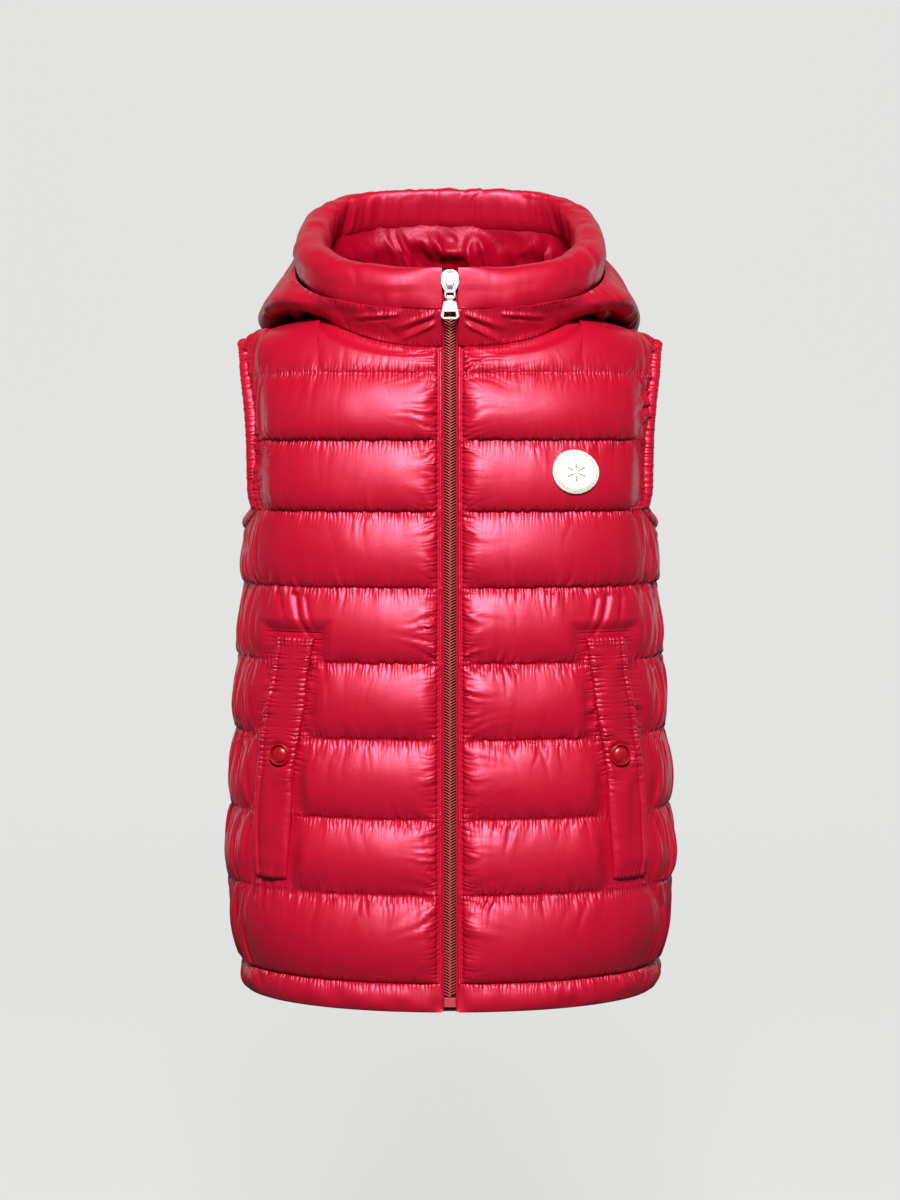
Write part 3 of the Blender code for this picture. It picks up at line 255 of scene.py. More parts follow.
def pleats(along, off, seed, sizes=(FINE_PLEATS, MIDDLE_PLEATS, LONG_PLEATS), boost=1.0):
    """Height of the folds across a seam: sharp valleys and round ridges that fade with distance."""
    away = np.abs(off)
    total = np.zeros(np.broadcast(along, off).shape)
    calm = 0.62 + 0.75 * noise(along / CALM_LENGTH, np.sign(off) * 0.5 + 7, seed + 7)
    calm = np.clip(calm, 0.12, 1.3)
    for k, (spacing, height, reach) in enumerate(sizes):
        lean = noise(along / (5 * spacing), 3 * k, seed + 11) * 0.28
        bend = spacing * 0.4 * noise(along / (4 * spacing), off / reach, seed + 13 + k)
        phase = (along + lean * away + bend) / spacing
        fold = ridged(noise(phase, off * 0.12 / spacing + 5, seed + 31 * k), 1.7, 0.55)
        near = reach * (0.75 + 0.55 * noise(along / (2.5 * spacing), np.sign(off) + 9, seed + 3 + k))
        fade = np.exp(-((away / np.maximum(near, reach * 0.25)) ** 1.3))
        total = total + spacing * height * fold * fade
    pinned = 0.45 + 0.55 * ramp(away / SEAM_PIN)
    return total * calm * pinned * boost

# %% Creases placed one by one
FAR_END_FADE = 0.85  # a crease is strong at its first end and nearly flat at the other

def distance_to_line(x, z, x0, z0, x1, z1):
    """Distance from a segment and the share along it, in the x-z plane."""
    run_x, run_z = x1 - x0, z1 - z0
    share = ((x - x0) * run_x + (z - z0) * run_z) / (run_x**2 + run_z**2)
    held = np.clip(share, 0, 1)
    return np.hypot(x - x0 - held * run_x, z - z0 - held * run_z), held

def creases(x, z, rows):
    """Sum of single folds. Each row is x0, z0, x1, z1, half width, height; height < 0 is a trough."""
    total = np.zeros(np.broadcast(x, z).shape)
    for x0, z0, x1, z1, width, height in rows:
        away, share = distance_to_line(x, z, x0, z0, x1, z1)
        body = hump(away, width) * (1 - FAR_END_FADE * share**2)
        total = total + height * body
    return total

# %% [markdown]
# ## A closed cloth wall
# Each panel is two sheets a couple of millimetres apart, closed round their edges, so that it has
# an outside, an inside and a real thickness. The outer sheet is dense because it carries the
# folds. The inner one keeps only some of its rows.

# %% Paths and directions
def unit(vectors):
    return vectors / np.maximum(np.linalg.norm(vectors, axis=-1, keepdims=True), 1e-12)

def lengths_along(path):
    """Distance of each point of a path from its start."""
    return np.concatenate([[0], np.cumsum(np.linalg.norm(np.diff(path, axis=0), axis=1))])

def point_at(path, lengths, at):
    """The point, or the row of points, at a distance along a path."""
    return np.stack([np.interp(at, lengths, path[:, k]) for k in range(3)], -1)

def mirrored(grid):
    return grid[:, ::-1] * (-1, 1, 1)

def joined(half, far_half):
    """A whole grid from its half at +X and its other half, which was worked out at +X too."""
    return np.concatenate([half, mirrored(far_half)[:, 1:]], axis=1)

# %% Wall builder
def wall_parts(shape, kept=None, tops=None):
    """The inner sheet's rows, the row where each strip ends, and which grid points there are."""
    rows, columns = shape
    kept = np.arange(rows) if kept is None else np.array(sorted(set(kept)))
    tops = np.full(columns - 1, rows - 1) if tops is None else np.array(tops)
    reach = np.maximum(np.append(tops[0], tops), np.append(tops, tops[-1]))
    return kept, tops, np.arange(rows)[:, None] <= reach[None]

def wall_faces(there, kept, tops):
    """Point numbers of both sheets and the faces of the wall between two grids."""
    rows, columns = there.shape
    outside = np.cumsum(there.ravel()).reshape(there.shape) - 1
    inner_there = there[kept]
    inside = there.sum() + np.cumsum(inner_there.ravel()).reshape(inner_there.shape) - 1
    cell = np.arange(rows - 1)[:, None] < tops[None]
    quads = np.stack([outside[:-1, :-1], outside[:-1, 1:], outside[1:, 1:], outside[1:, :-1]], -1)
    faces = quads[cell].tolist()
    for low, high in enumerate(kept[1:]):
        ok = high <= tops
        row = np.stack([inside[low, :-1], inside[low + 1, :-1], inside[low + 1, 1:], inside[low, 1:]], -1)
        faces += row[ok].tolist()
    place = {row: k for k, row in enumerate(kept)}
    for j, top in enumerate(tops):
        for i in (0, top):
            k = place[i]
            faces.append([outside[i, j], outside[i, j + 1], inside[k, j + 1], inside[k, j]])
    ends = [0, *tops, 0]
    for j in range(columns):
        low_end, high_end = sorted((ends[j], ends[j + 1]))
        for k, (low, high) in enumerate(zip(kept, kept[1:])):
            if low_end <= low and high <= high_end:
                chain = [outside[i, j] for i in range(low, high + 1)]
                faces.append([*chain, inside[k + 1, j], inside[k, j]])
    return faces

def cloth_wall(name, outer, inner, finish, kept=None, tops=None):
    """A closed wall from two grids of rows by columns.

    kept lists the rows that the inner sheet has. tops gives the row where each strip ends.
    """
    kept, tops, there = wall_parts(outer.shape[:2], kept, tops)
    points = np.concatenate([outer[there], inner[kept][there[kept]]])
    return cloth_object(name, points, wall_faces(there, kept, tops), finish)

# %% Tube builder
INSIDE_STEPS = (4, 2)  # a hollow tube's inside keeps one ring in four and one point in two

def tube_faces(count, around, closed, first=0):
    """The faces through rings of points, capped or joined end to end."""
    here = np.arange(count if closed else count - 1)[:, None] * around
    there = (np.arange(len(here))[:, None] + 1) % count * around
    k = np.arange(around)[None]
    after = (k + 1) % around
    faces = np.stack([here + k, here + after, there + after, there + k], -1).reshape(-1, 4).tolist()
    if not closed:
        faces += [list(range(around)), list(range((count - 1) * around, count * around))]
    return [[first + point for point in face] for face in faces]

def tube(name, rings, finish, closed, sharp=75, wall=0.0):
    """A closed body through rings of points. With a wall it is hollow, and its inside is coarser."""
    points, faces = rings.reshape(-1, 3), tube_faces(*rings.shape[:2], closed)
    if wall:
        middle = rings.mean(axis=1, keepdims=True)
        reach = np.linalg.norm(rings - middle, axis=-1, keepdims=True)
        inside = (middle + (rings - middle) * (1 - wall / reach))[:: INSIDE_STEPS[0], :: INSIDE_STEPS[1]]
        faces += tube_faces(*inside.shape[:2], closed, len(points))
        points = np.concatenate([points, inside.reshape(-1, 3)])
    return cloth_object(name, points, faces, finish, sharp)

# %% [markdown]
# ## Finishes
# The shell is downproof nylon: a tight plain weave with a satin shine, clear red, a shade deeper
# here and there. One node group gives every cloth its weave and small crinkles, and each material
# places it with its own values, so a change to the weave reaches them all.

# %% Node helpers
def add_node(tree, kind, **settings):
    made = tree.nodes.new(kind)
    for key, value in settings.items():
        setattr(made, key, value)
    return made

def set_inputs(node, **values):
    for key, value in values.items():
        node.inputs[key.replace("_", " ")].default_value = value
    return node

def new_group(name, inputs, outputs):
    """A shader node group with named sockets. Each row is name, kind, default."""
    group = bpy.data.node_groups.new(name, "ShaderNodeTree")
    for label, kind, value in inputs:
        made = group.interface.new_socket(label, in_out="INPUT", socket_type=kind)
        made.default_value = value
    for label, kind in outputs:
        group.interface.new_socket(label, in_out="OUTPUT", socket_type=kind)
    return group, group.nodes.new("NodeGroupInput"), group.nodes.new("NodeGroupOutput")

def math_node(tree, operation, first, second):
    made = add_node(tree, "ShaderNodeMath", operation=operation)
    for k, value in enumerate((first, second)):
        if isinstance(value, (int, float)):
            made.inputs[k].default_value = value
        else:
            tree.links.new(value, made.inputs[k])
    return made.outputs[0]

# %% Cloth surface group
def cloth_surface_group():
    """Weave and crinkles as a height, and a colour that varies over the cloth."""
    group, given, result = new_group(
        "cloth_surface",
        [
            ("Colour", "NodeSocketColor", (0.5, 0.5, 0.5, 1)),
            ("Deep Colour", "NodeSocketColor", (0.3, 0.3, 0.3, 1)),
            ("Threads per Metre", "NodeSocketFloat", 3000.0),
            ("Weave Height", "NodeSocketFloat", 0.2),
            ("Crinkle Size", "NodeSocketFloat", 160.0),
            ("Crinkle Height", "NodeSocketFloat", 1.0),
        ],
        [("Colour", "NodeSocketColor"), ("Height", "NodeSocketFloat")],
    )
    place = add_node(group, "ShaderNodeTexCoord").outputs["Object"]
    warp = set_inputs(add_node(group, "ShaderNodeTexWave", bands_direction="Z"), Distortion=0.3)
    weft = set_inputs(add_node(group, "ShaderNodeTexWave", bands_direction="X"), Distortion=0.3)
    for wave in (warp, weft):
        group.links.new(place, wave.inputs["Vector"])
        group.links.new(given.outputs["Threads per Metre"], wave.inputs["Scale"])
    threads = math_node(group, "ADD", warp.outputs["Fac"], weft.outputs["Fac"])
    threads = math_node(group, "MULTIPLY", threads, given.outputs["Weave Height"])
    crinkle = add_node(group, "ShaderNodeTexNoise")
    set_inputs(crinkle, Detail=3.0, Roughness=0.55, Distortion=0.6)
    group.links.new(place, crinkle.inputs["Vector"])
    group.links.new(given.outputs["Crinkle Size"], crinkle.inputs["Scale"])
    folds = math_node(group, "MULTIPLY", crinkle.outputs["Fac"], given.outputs["Crinkle Height"])
    height = math_node(group, "ADD", threads, folds)
    group.links.new(height, result.inputs["Height"])
    cloud = set_inputs(add_node(group, "ShaderNodeTexNoise"), Scale=14.0, Detail=2.0)
    group.links.new(place, cloud.inputs["Vector"])
    tint = add_node(group, "ShaderNodeMix", data_type="RGBA")
    group.links.new(cloud.outputs["Fac"], tint.inputs["Factor"])
    group.links.new(given.outputs["Deep Colour"], tint.inputs["A"])
    group.links.new(given.outputs["Colour"], tint.inputs["B"])
    group.links.new(tint.outputs["Result"], result.inputs["Colour"])
    return group

CLOTH_SURFACE = cloth_surface_group()
print(f"{CLOTH_SURFACE.name}: {len(CLOTH_SURFACE.nodes)} nodes")

# %% Seam pucker group
def seam_pucker_group():
    """Gathers too fine for the mesh: valleys beside a seam, from a point's place along and off it."""
    group, given, result = new_group(
        "seam_pucker",
        [
            ("Along", "NodeSocketFloat", 0.0),
            ("Off", "NodeSocketFloat", 1.0),
            ("Folds per Metre", "NodeSocketFloat", 370.0),
            ("Reach", "NodeSocketFloat", 0.0045),
        ],
        [("Height", "NodeSocketFloat")],
    )
    off = given.outputs["Off"]
    across = math_node(group, "MULTIPLY", given.outputs["Along"], given.outputs["Folds per Metre"])
    spot = add_node(group, "ShaderNodeCombineXYZ")
    group.links.new(across, spot.inputs["X"])
    group.links.new(math_node(group, "MULTIPLY", off, 120.0), spot.inputs["Y"])
    drift = set_inputs(add_node(group, "ShaderNodeTexNoise"), Scale=0.45, Detail=1.0)
    depth = set_inputs(add_node(group, "ShaderNodeTexNoise"), Scale=0.30, Detail=2.0)
    for texture in (drift, depth):
        group.links.new(spot.outputs["Vector"], texture.inputs["Vector"])
    moved = math_node(group, "ADD", across, math_node(group, "MULTIPLY", drift.outputs["Fac"], 2.4))
    tooth = math_node(group, "PINGPONG", moved, 0.5)
    ridge = math_node(group, "MULTIPLY", tooth, math_node(group, "SUBTRACT", 1.0, tooth))
    share = math_node(group, "DIVIDE", off, given.outputs["Reach"])
    share = math_node(group, "MULTIPLY", share, share)
    fade = math_node(group, "DIVIDE", 1.0, math_node(group, "ADD", share, 1.0))
    fade = math_node(group, "MULTIPLY", fade, fade)
    height = math_node(group, "MULTIPLY", math_node(group, "MULTIPLY", ridge, 4.0), fade)
    height = math_node(group, "MULTIPLY", height, depth.outputs["Fac"])
    group.links.new(height, result.inputs["Height"])
    return group

SEAM_PUCKER = seam_pucker_group()
print(f"{SEAM_PUCKER.name}: {len(SEAM_PUCKER.nodes)} nodes")

# %% Material maker
def new_material(name, roughness, metallic=0.0, **more):
    made = bpy.data.materials.new(name)
    made.use_nodes = True
    shader = made.node_tree.nodes["Principled BSDF"]
    set_inputs(shader, Roughness=roughness, Metallic=metallic, **more)
    return made, made.node_tree, shader

SURFACE_COLUMNS = ("Threads per Metre", "Weave Height", "Crinkle Size", "Crinkle Height")

def cloth_material(name, colour, deep, roughness, surface, bump, puckers=(), **more):
    """A cloth finish. surface is a row of SURFACE_COLUMNS, and puckers has one row a kind of seam."""
    made, tree, shader = new_material(name, roughness, **more)
    cloth = add_node(tree, "ShaderNodeGroup", node_tree=CLOTH_SURFACE)
    cloth.inputs["Colour"].default_value = (*colour, 1)
    cloth.inputs["Deep Colour"].default_value = (*deep, 1)
    for label, value in zip(SURFACE_COLUMNS, surface):
        cloth.inputs[label].default_value = value
    tree.links.new(cloth.outputs["Colour"], shader.inputs["Base Color"])
    relief = add_node(tree, "ShaderNodeBump")
    set_inputs(relief, Strength=1.0, Distance=bump)
    height = cloth.outputs["Height"]
    for kind, folds, reach, tall in puckers:
        gathers = add_node(tree, "ShaderNodeGroup", node_tree=SEAM_PUCKER)
        for label, way in (("Along", "along_"), ("Off", "off_")):
            place = add_node(tree, "ShaderNodeAttribute", attribute_name=way + kind)
            tree.links.new(place.outputs["Fac"], gathers.inputs[label])
        gathers.inputs["Folds per Metre"].default_value = folds
        gathers.inputs["Reach"].default_value = reach
        gathered = math_node(tree, "MULTIPLY", gathers.outputs["Height"], tall)
        height = math_node(tree, "ADD", height, gathered)
    tree.links.new(height, relief.inputs["Height"])
    tree.links.new(relief.outputs["Normal"], shader.inputs["Normal"])
    return made

# %% The vest's cloths
NYLON_SURFACE = (1400.0, 0.008, 110.0, 0.30)
LINING_SURFACE = (1400.0, 0.006, 80.0, 1.6)
TAPE_SURFACE = (900.0, 0.8, 500.0, 0.3)
FELT_SURFACE = (600.0, 0.05, 1400.0, 2.0)

NYLON_TINT = (1.0, 0.29, 0.45, 1.0)
# kind of seam, folds to the metre, reach in metres, height in bump distances
NYLON_PUCKERS = (("seam", 360.0, 0.0050, 2.6), ("edge", 270.0, 0.0065, 3.0))
NYLON = cloth_material(
    "crimson_nylon", (0.41, 0.0007, 0.017), (0.36, 0.0005, 0.014), 0.44, NYLON_SURFACE, 0.0004,
    NYLON_PUCKERS, Specular_Tint=NYLON_TINT, Specular_IOR_Level=0.92, IOR=1.60,
)
# The lining's base colour is darker than the shell's: painted shade for the inside of the hood.
LINING = cloth_material(
    "crimson_lining", (0.30, 0.0006, 0.012), (0.22, 0.0005, 0.009), 0.38, LINING_SURFACE, 0.0005,
    Specular_Tint=NYLON_TINT, Specular_IOR_Level=0.30,
)
TAPE_COLOURS = (0.22, 0.002, 0.010), (0.15, 0.001, 0.007)
TAPE = cloth_material("zip_tape_weave", *TAPE_COLOURS, 0.75, TAPE_SURFACE, 0.0002)
THREAD = cloth_material(
    "crimson_thread", (0.50, 0.003, 0.025), (0.40, 0.002, 0.018), 0.55, TAPE_SURFACE, 0.0001,
    Specular_Tint=NYLON_TINT, Specular_IOR_Level=0.35,
)
FELT = cloth_material("cream_felt", (0.80, 0.75, 0.66), (0.72, 0.67, 0.58), 0.95, FELT_SURFACE, 0.0003)
INK = cloth_material("navy_thread", (0.012, 0.018, 0.060), (0.008, 0.012, 0.04), 0.6, TAPE_SURFACE, 0.0001)
print("cloths:", [finish.name for finish in (NYLON, LINING, TAPE, THREAD, FELT, INK)])

# %% Hard finishes
GLOSS_FROM, GLOSS_TO = 0.8, 1.25  # how far the noise moves a finish's roughness, as shares of it
GRAIN_STRENGTH = 0.6

def hard_material(name, colour, worn, roughness, grain, bump, metallic=0.0, **more):
    """Metal, lacquer or moulded plastic: a fine noise varies the colour and the gloss."""
    made, tree, shader = new_material(name, roughness, metallic, **more)
    place = add_node(tree, "ShaderNodeTexCoord").outputs["Object"]
    cloud = set_inputs(add_node(tree, "ShaderNodeTexNoise"), Scale=grain, Detail=4.0)
    tree.links.new(place, cloud.inputs["Vector"])
    tint = add_node(tree, "ShaderNodeMix", data_type="RGBA")
    tree.links.new(cloud.outputs["Fac"], tint.inputs["Factor"])
    tint.inputs["A"].default_value = (*colour, 1)
    tint.inputs["B"].default_value = (*worn, 1)
    tree.links.new(tint.outputs["Result"], shader.inputs["Base Color"])
    spread = add_node(tree, "ShaderNodeMapRange")
    set_inputs(spread, To_Min=roughness * GLOSS_FROM, To_Max=roughness * GLOSS_TO)
    tree.links.new(cloud.outputs["Fac"], spread.inputs["Value"])
    tree.links.new(spread.outputs["Result"], shader.inputs["Roughness"])
    relief = add_node(tree, "ShaderNodeBump")
    set_inputs(relief, Strength=GRAIN_STRENGTH, Distance=bump)
    tree.links.new(cloud.outputs["Fac"], relief.inputs["Height"])
    tree.links.new(relief.outputs["Normal"], shader.inputs["Normal"])
    return made

METAL = hard_material("polished_nickel", (0.94, 0.93, 0.91), (0.86, 0.85, 0.83), 0.26, 900.0, 0.00002, 0.65)
TEETH = hard_material("rose_teeth", (0.88, 0.19, 0.18), (0.70, 0.10, 0.10), 0.34, 700.0, 0.00003, 0.6)
# Near-black core under the teeth: its colour is painted shade for the gaps between them.
PAINTED_SHADE_CORE = hard_material(
    "zip_core_painted_shade", (0.030, 0.001, 0.002), (0.02, 0.0005, 0.001), 0.8, 500.0, 0.00004, Specular_IOR_Level=0.1
)
MOULDED = hard_material("dull_red_plastic", (0.40, 0.04, 0.05), (0.33, 0.03, 0.04), 0.42, 600.0, 0.00003)
LACQUER = hard_material(
    "snap_lacquer", (0.33, 0.001, 0.010), (0.28, 0.001, 0.008), 0.30, 400.0, 0.00002, Specular_IOR_Level=0.5
)
print("hard finishes:", [finish.name for finish in (METAL, TEETH, PAINTED_SHADE_CORE, MOULDED, LACQUER)])

# %% [markdown]
# ## The quilted body
# The front and back are cut as flat panels, sewn across in level seams and blown full of down.
# Between seams the cloth stands off the body in a fat roll. The bare surface under it is a stack
# of rounded sections, and each roll's height is laid on that surface along its normal.

# %% Body measures
SEAM_GAP = 0.0003
WALL = 0.0020
HEM_Z = -0.470
QUILT_HEIGHTS = (0.0189, 0.0776, 0.1277, 0.1804, 0.2311, 0.2812, 0.3320, 0.3794, 0.4236)
UNDERARM_SEAM = 6
SECTION_COLUMNS = ("height", "half_width", "front_depth", "back_depth", "squareness")
SECTIONS = (
    (0.0000, 0.1420, 0.0965, 0.0930, 2.10),
    (0.0189, 0.1437, 0.0955, 0.0920, 2.10),
    (0.0776, 0.1520, 0.0965, 0.0900, 2.25),
    (0.1277, 0.1502, 0.0965, 0.0880, 2.30),
    (0.1804, 0.1470, 0.0965, 0.0875, 2.30),
    (0.2311, 0.1452, 0.0970, 0.0895, 2.35),
    (0.2812, 0.1412, 0.0965, 0.0930, 2.45),
    (0.3320, 0.1410, 0.0960, 0.0970, 2.50),
    (0.3794, 0.1415, 0.0955, 0.0980, 2.50),
    (0.4700, 0.1415, 0.0950, 0.0980, 2.50),
)
SHOULDER_BASE_Z = HEM_Z + 0.375
SHOULDER_SQUARENESS = 2.8
RIDGE_TOP_Z = 0.0042
RIDGE_FALL = 1.28
SHOULDER_TIP_X = 0.1415
NECK_HALF_WIDTH = 0.089
NECK_FRONT_Z = -0.029
NECK_BACK_Z = -0.012
NECK_CURVE_POWER = 2.6
ARMHOLE_COLUMNS = ("height", "edge_x")
ARMHOLE = (
    (0.3320, 0.1283),
    (0.3357, 0.1298),
    (0.3420, 0.1305),
    (0.3600, 0.1312),
    (0.3870, 0.1322),
    (0.4100, 0.1345),
    (0.4260, 0.1372),
    (0.4350, 0.1390),
    (0.4485, 0.1415),
)
UNDERARM_DROP = 0.015
ZIP_EDGE_X = 0.0054

# %% Body surface
def read_table(table, columns, name, at):
    """A smooth curve through one column of a table, read at the values of its first column."""
    keys = np.array([row[0] for row in table], float)
    values = np.array([row[columns.index(name)] for row in table], float)
    slopes = np.gradient(values, keys)
    at = np.clip(np.asarray(at, float), keys[0], keys[-1])
    i = np.clip(np.searchsorted(keys, at) - 1, 0, len(keys) - 2)
    span = keys[i + 1] - keys[i]
    s = (at - keys[i]) / span
    rise = values[i] * (1 + 2 * s) * (1 - s) ** 2 + values[i + 1] * s * s * (3 - 2 * s)
    return rise + span * (slopes[i] * s * (1 - s) ** 2 - slopes[i + 1] * s * s * (1 - s))

def section(name, z):
    return read_table(SECTIONS, SECTION_COLUMNS, name, np.asarray(z) - HEM_Z)

def armhole_x(z):
    return read_table(ARMHOLE, ARMHOLE_COLUMNS, "edge_x", np.asarray(z) - HEM_Z)

def ridge_z(x):
    return RIDGE_TOP_Z - RIDGE_FALL * np.asarray(x) ** 2

def body_depth(side, x, z):
    """Distance of the bare surface from the plane y = 0. side is -1 in front, 1 behind."""
    n = section("squareness", z)
    depth = section("front_depth" if side < 0 else "back_depth", z)
    across = np.clip(np.abs(x) / section("half_width", z), 0, 1)
    rise = np.clip((z - SHOULDER_BASE_Z) / (ridge_z(x) - SHOULDER_BASE_Z), 0, 1)
    curl = (1 - rise**SHOULDER_SQUARENESS) ** (1 / SHOULDER_SQUARENESS)
    return depth * (1 - across**n) ** (1 / n) * curl

def neck_z(side, x):
    middle = NECK_FRONT_Z if side < 0 else NECK_BACK_Z
    share = np.clip(np.abs(x) / NECK_HALF_WIDTH, 0, 1) ** NECK_CURVE_POWER
    return middle + (ridge_z(NECK_HALF_WIDTH) - middle) * share

def corner_angle():
    """The section's angle at the underarm corner, shared by every section below it."""
    z = HEM_Z + QUILT_HEIGHTS[UNDERARM_SEAM]
    share = ARMHOLE[0][1] / section("half_width", z)
    return math.asin(share ** (section("squareness", z) / 2))

def x_at_angle(z, angle):
    return section("half_width", z) * np.sin(angle) ** (2 / section("squareness", z))

def curl_angle(x, z):
    rise = np.clip((z - SHOULDER_BASE_Z) / (ridge_z(x) - SHOULDER_BASE_Z), 0, 1)
    return np.arcsin(rise ** (SHOULDER_SQUARENESS / 2))

def curl_z(x, angle):
    share = np.sin(angle) ** (2 / SHOULDER_SQUARENESS)
    return SHOULDER_BASE_Z + (ridge_z(x) - SHOULDER_BASE_Z) * share

print(f"underarm corner: {math.degrees(corner_angle()):.1f} degrees round from the middle of the front")

# %% [markdown]
# ### The padding's height
# Down fills a roll to a round crown and sinks a little, so the fullest place is below the middle.
# One function gives that height anywhere, so the patch can ask it where the cloth lies.

# %% Padding
FRONT_PUFF = 0.0085
HEM_BAFFLE_PUFF = 0.0098
SHOULDER_PUFF = 0.0066
COLLAR_PUFF = 0.0038
COLLAR_X, SHOULDER_BLEND = 0.04, 0.06  # the flatter padding ends here, and grows over this width
NECK_PUFF_SHARE = 0.2
NECK_PRESS_STEP, NECK_PRESS_BLEND, NECK_PRESS_X = 0.45, 0.3, 0.125  # where the hood weighs it down
SIDE_PUFF = 0.0042
SIDE_ROUND = 5
PUFF_POWER = 0.75
# Down sinks in its roll: a power below 1 moves the fullest part towards the lower seam.
FULLNESS_DROP = (0.95, 0.95, 0.92, 0.90, 0.86, 0.78, 0.70, 0.70, 0.85)
ARMHOLE_FADE = 0.016
ARMHOLE_EDGE_SHARE = 0.2
ZIP_STITCH_X = 0.0083
ZIP_FADE = 0.0120
ZIP_ROUND = 0.6
WELT_COLUMNS = ("height", "front_edge_x", "side_edge_x")
WELT = (
    (0.0850, 0.1078, 0.1280),
    (0.1320, 0.1041, 0.1273),
    (0.1650, 0.1023, 0.1245),
    (0.1950, 0.0965, 0.1209),
    (0.2200, 0.0933, 0.1164),
    (0.2475, 0.0892, 0.1126),
)
WELT_DITCH = 0.014
WELT_PRESS = 0.72
WELT_SMOOTH, WELT_BLEND = 0.125, 0.04  # height where the pocket's gathers begin, and how fast
WELT_REACH_X = 0.128  # further round the side the pocket makes no folds
SIDE_SEAM_FADE = 0.0070

def lift(step):
    return np.clip(4 * step * (1 - step), 0, 1) ** PUFF_POWER

def welt_distance(x, z):
    """How far a point lies outside the pocket welt's outline, 0 under it."""
    height = z - HEM_Z
    front = read_table(WELT, WELT_COLUMNS, "front_edge_x", height)
    back = read_table(WELT, WELT_COLUMNS, "side_edge_x", height)
    beside = np.maximum(front - x, x - back)
    above = np.maximum(WELT[0][0] - height, height - WELT[-1][0])
    return np.maximum(np.maximum(beside, above), 0)

def welt_gathered(height):
    """0 on the smooth lower half of the pocket, 1 on its gathered upper half."""
    return ramp((height - WELT_SMOOTH) / WELT_BLEND)

def puff(side, x, z, baffle, step):
    """How far the outer sheet stands off the bare surface, without its folds."""
    full = np.where(baffle == 0, HEM_BAFFLE_PUFF, FRONT_PUFF)
    if baffle == len(QUILT_HEIGHTS) - 1:
        full = COLLAR_PUFF + (SHOULDER_PUFF - COLLAR_PUFF) * ramp((np.abs(x) - COLLAR_X) / SHOULDER_BLEND)
        pressed = ramp((step - NECK_PRESS_STEP) / NECK_PRESS_BLEND) * (np.abs(x) < NECK_PRESS_X)
        full = full * (1 - (1 - NECK_PUFF_SHARE) * pressed)
    round_side = (np.abs(x) / section("half_width", z)) ** SIDE_ROUND
    full = full + (SIDE_PUFF - full) * np.clip(round_side, 0, 1)
    beyond = HEM_Z + QUILT_HEIGHTS[UNDERARM_SEAM]
    edge = ramp((armhole_x(z) - np.abs(x)) / ARMHOLE_FADE)
    edge = ARMHOLE_EDGE_SHARE + (1 - ARMHOLE_EDGE_SHARE) * edge
    full = full * np.where(z > beyond, edge, 1)
    if side < 0:
        beside_zip = np.clip((np.abs(x) - ZIP_STITCH_X) / ZIP_FADE, 0, 1)
        full = full * (beside_zip * (2 - beside_zip)) ** ZIP_ROUND
        full = full * (1 - WELT_PRESS * (1 - ramp(welt_distance(np.abs(x), z) / WELT_DITCH)))
    return full * lift(step ** FULLNESS_DROP[baffle])

print(f"a chest row stands off {1e3 * puff(-1, 0.06, HEM_Z + 0.306, 5, 0.5):.1f} mm in its middle")

# %% Rows and columns of a panel
BAFFLE_ROWS = 40
TOP_ROWS = 44
SEAM_CROWDING = 0.28  # rows crowd towards the seams, where the folds are

def crowded(count):
    """Even steps from 0 to 1, moved towards both ends."""
    t = np.linspace(0, 1, count)
    return t - SEAM_CROWDING * np.sin(2 * math.pi * t) / (2 * math.pi)

LEVEL_STEPS = crowded(BAFFLE_ROWS + 1)[:-1]
TOP_STEPS = crowded(TOP_ROWS)
BAFFLES = len(QUILT_HEIGHTS) - 1
CORNER_ROW = UNDERARM_SEAM * BAFFLE_ROWS
TOP_ROW = BAFFLES * BAFFLE_ROWS
ROWS = TOP_ROW + TOP_ROWS
INNER_PER_BAFFLE = 5
NECK_SHARE = (NECK_HALF_WIDTH - ZIP_EDGE_X) / (SHOULDER_TIP_X - ZIP_EDGE_X)
FRONT_WIDTH = 0.125
SIDE_WIDTH = 0.078  # over the cloth, from the underarm corner to the side seam
BESIDE_ZIP_MM = (0, 0.25, 0.6, 1.0, 1.4, 1.8, 2.1, 2.4, 2.7, 3.0, 3.4, 3.9, 4.6, 5.4, 6.3, 7.3)
BESIDE_ZIP = np.array(BESIDE_ZIP_MM) * 1e-3 / FRONT_WIDTH
FRONT_STEP, BACK_STEP = 0.00085, 0.0018

def column_shares(near, step):
    """Where the columns lie between the middle and the armhole, with one at the neck's side."""
    width = SHOULDER_TIP_X - ZIP_EDGE_X
    first = int((NECK_SHARE - near[-1]) * width / step)
    second = int((1 - NECK_SHARE) * width / step)
    inner = np.linspace(near[-1], NECK_SHARE, first + 1)[1:]
    return np.concatenate([near, inner, np.linspace(NECK_SHARE, 1, second + 1)[1:]])

def side_shares(step):
    return np.linspace(0, 1, int(SIDE_WIDTH / step) + 1)[1:]

print(f"a panel has {ROWS} rows of points, {BAFFLE_ROWS} to each roll")

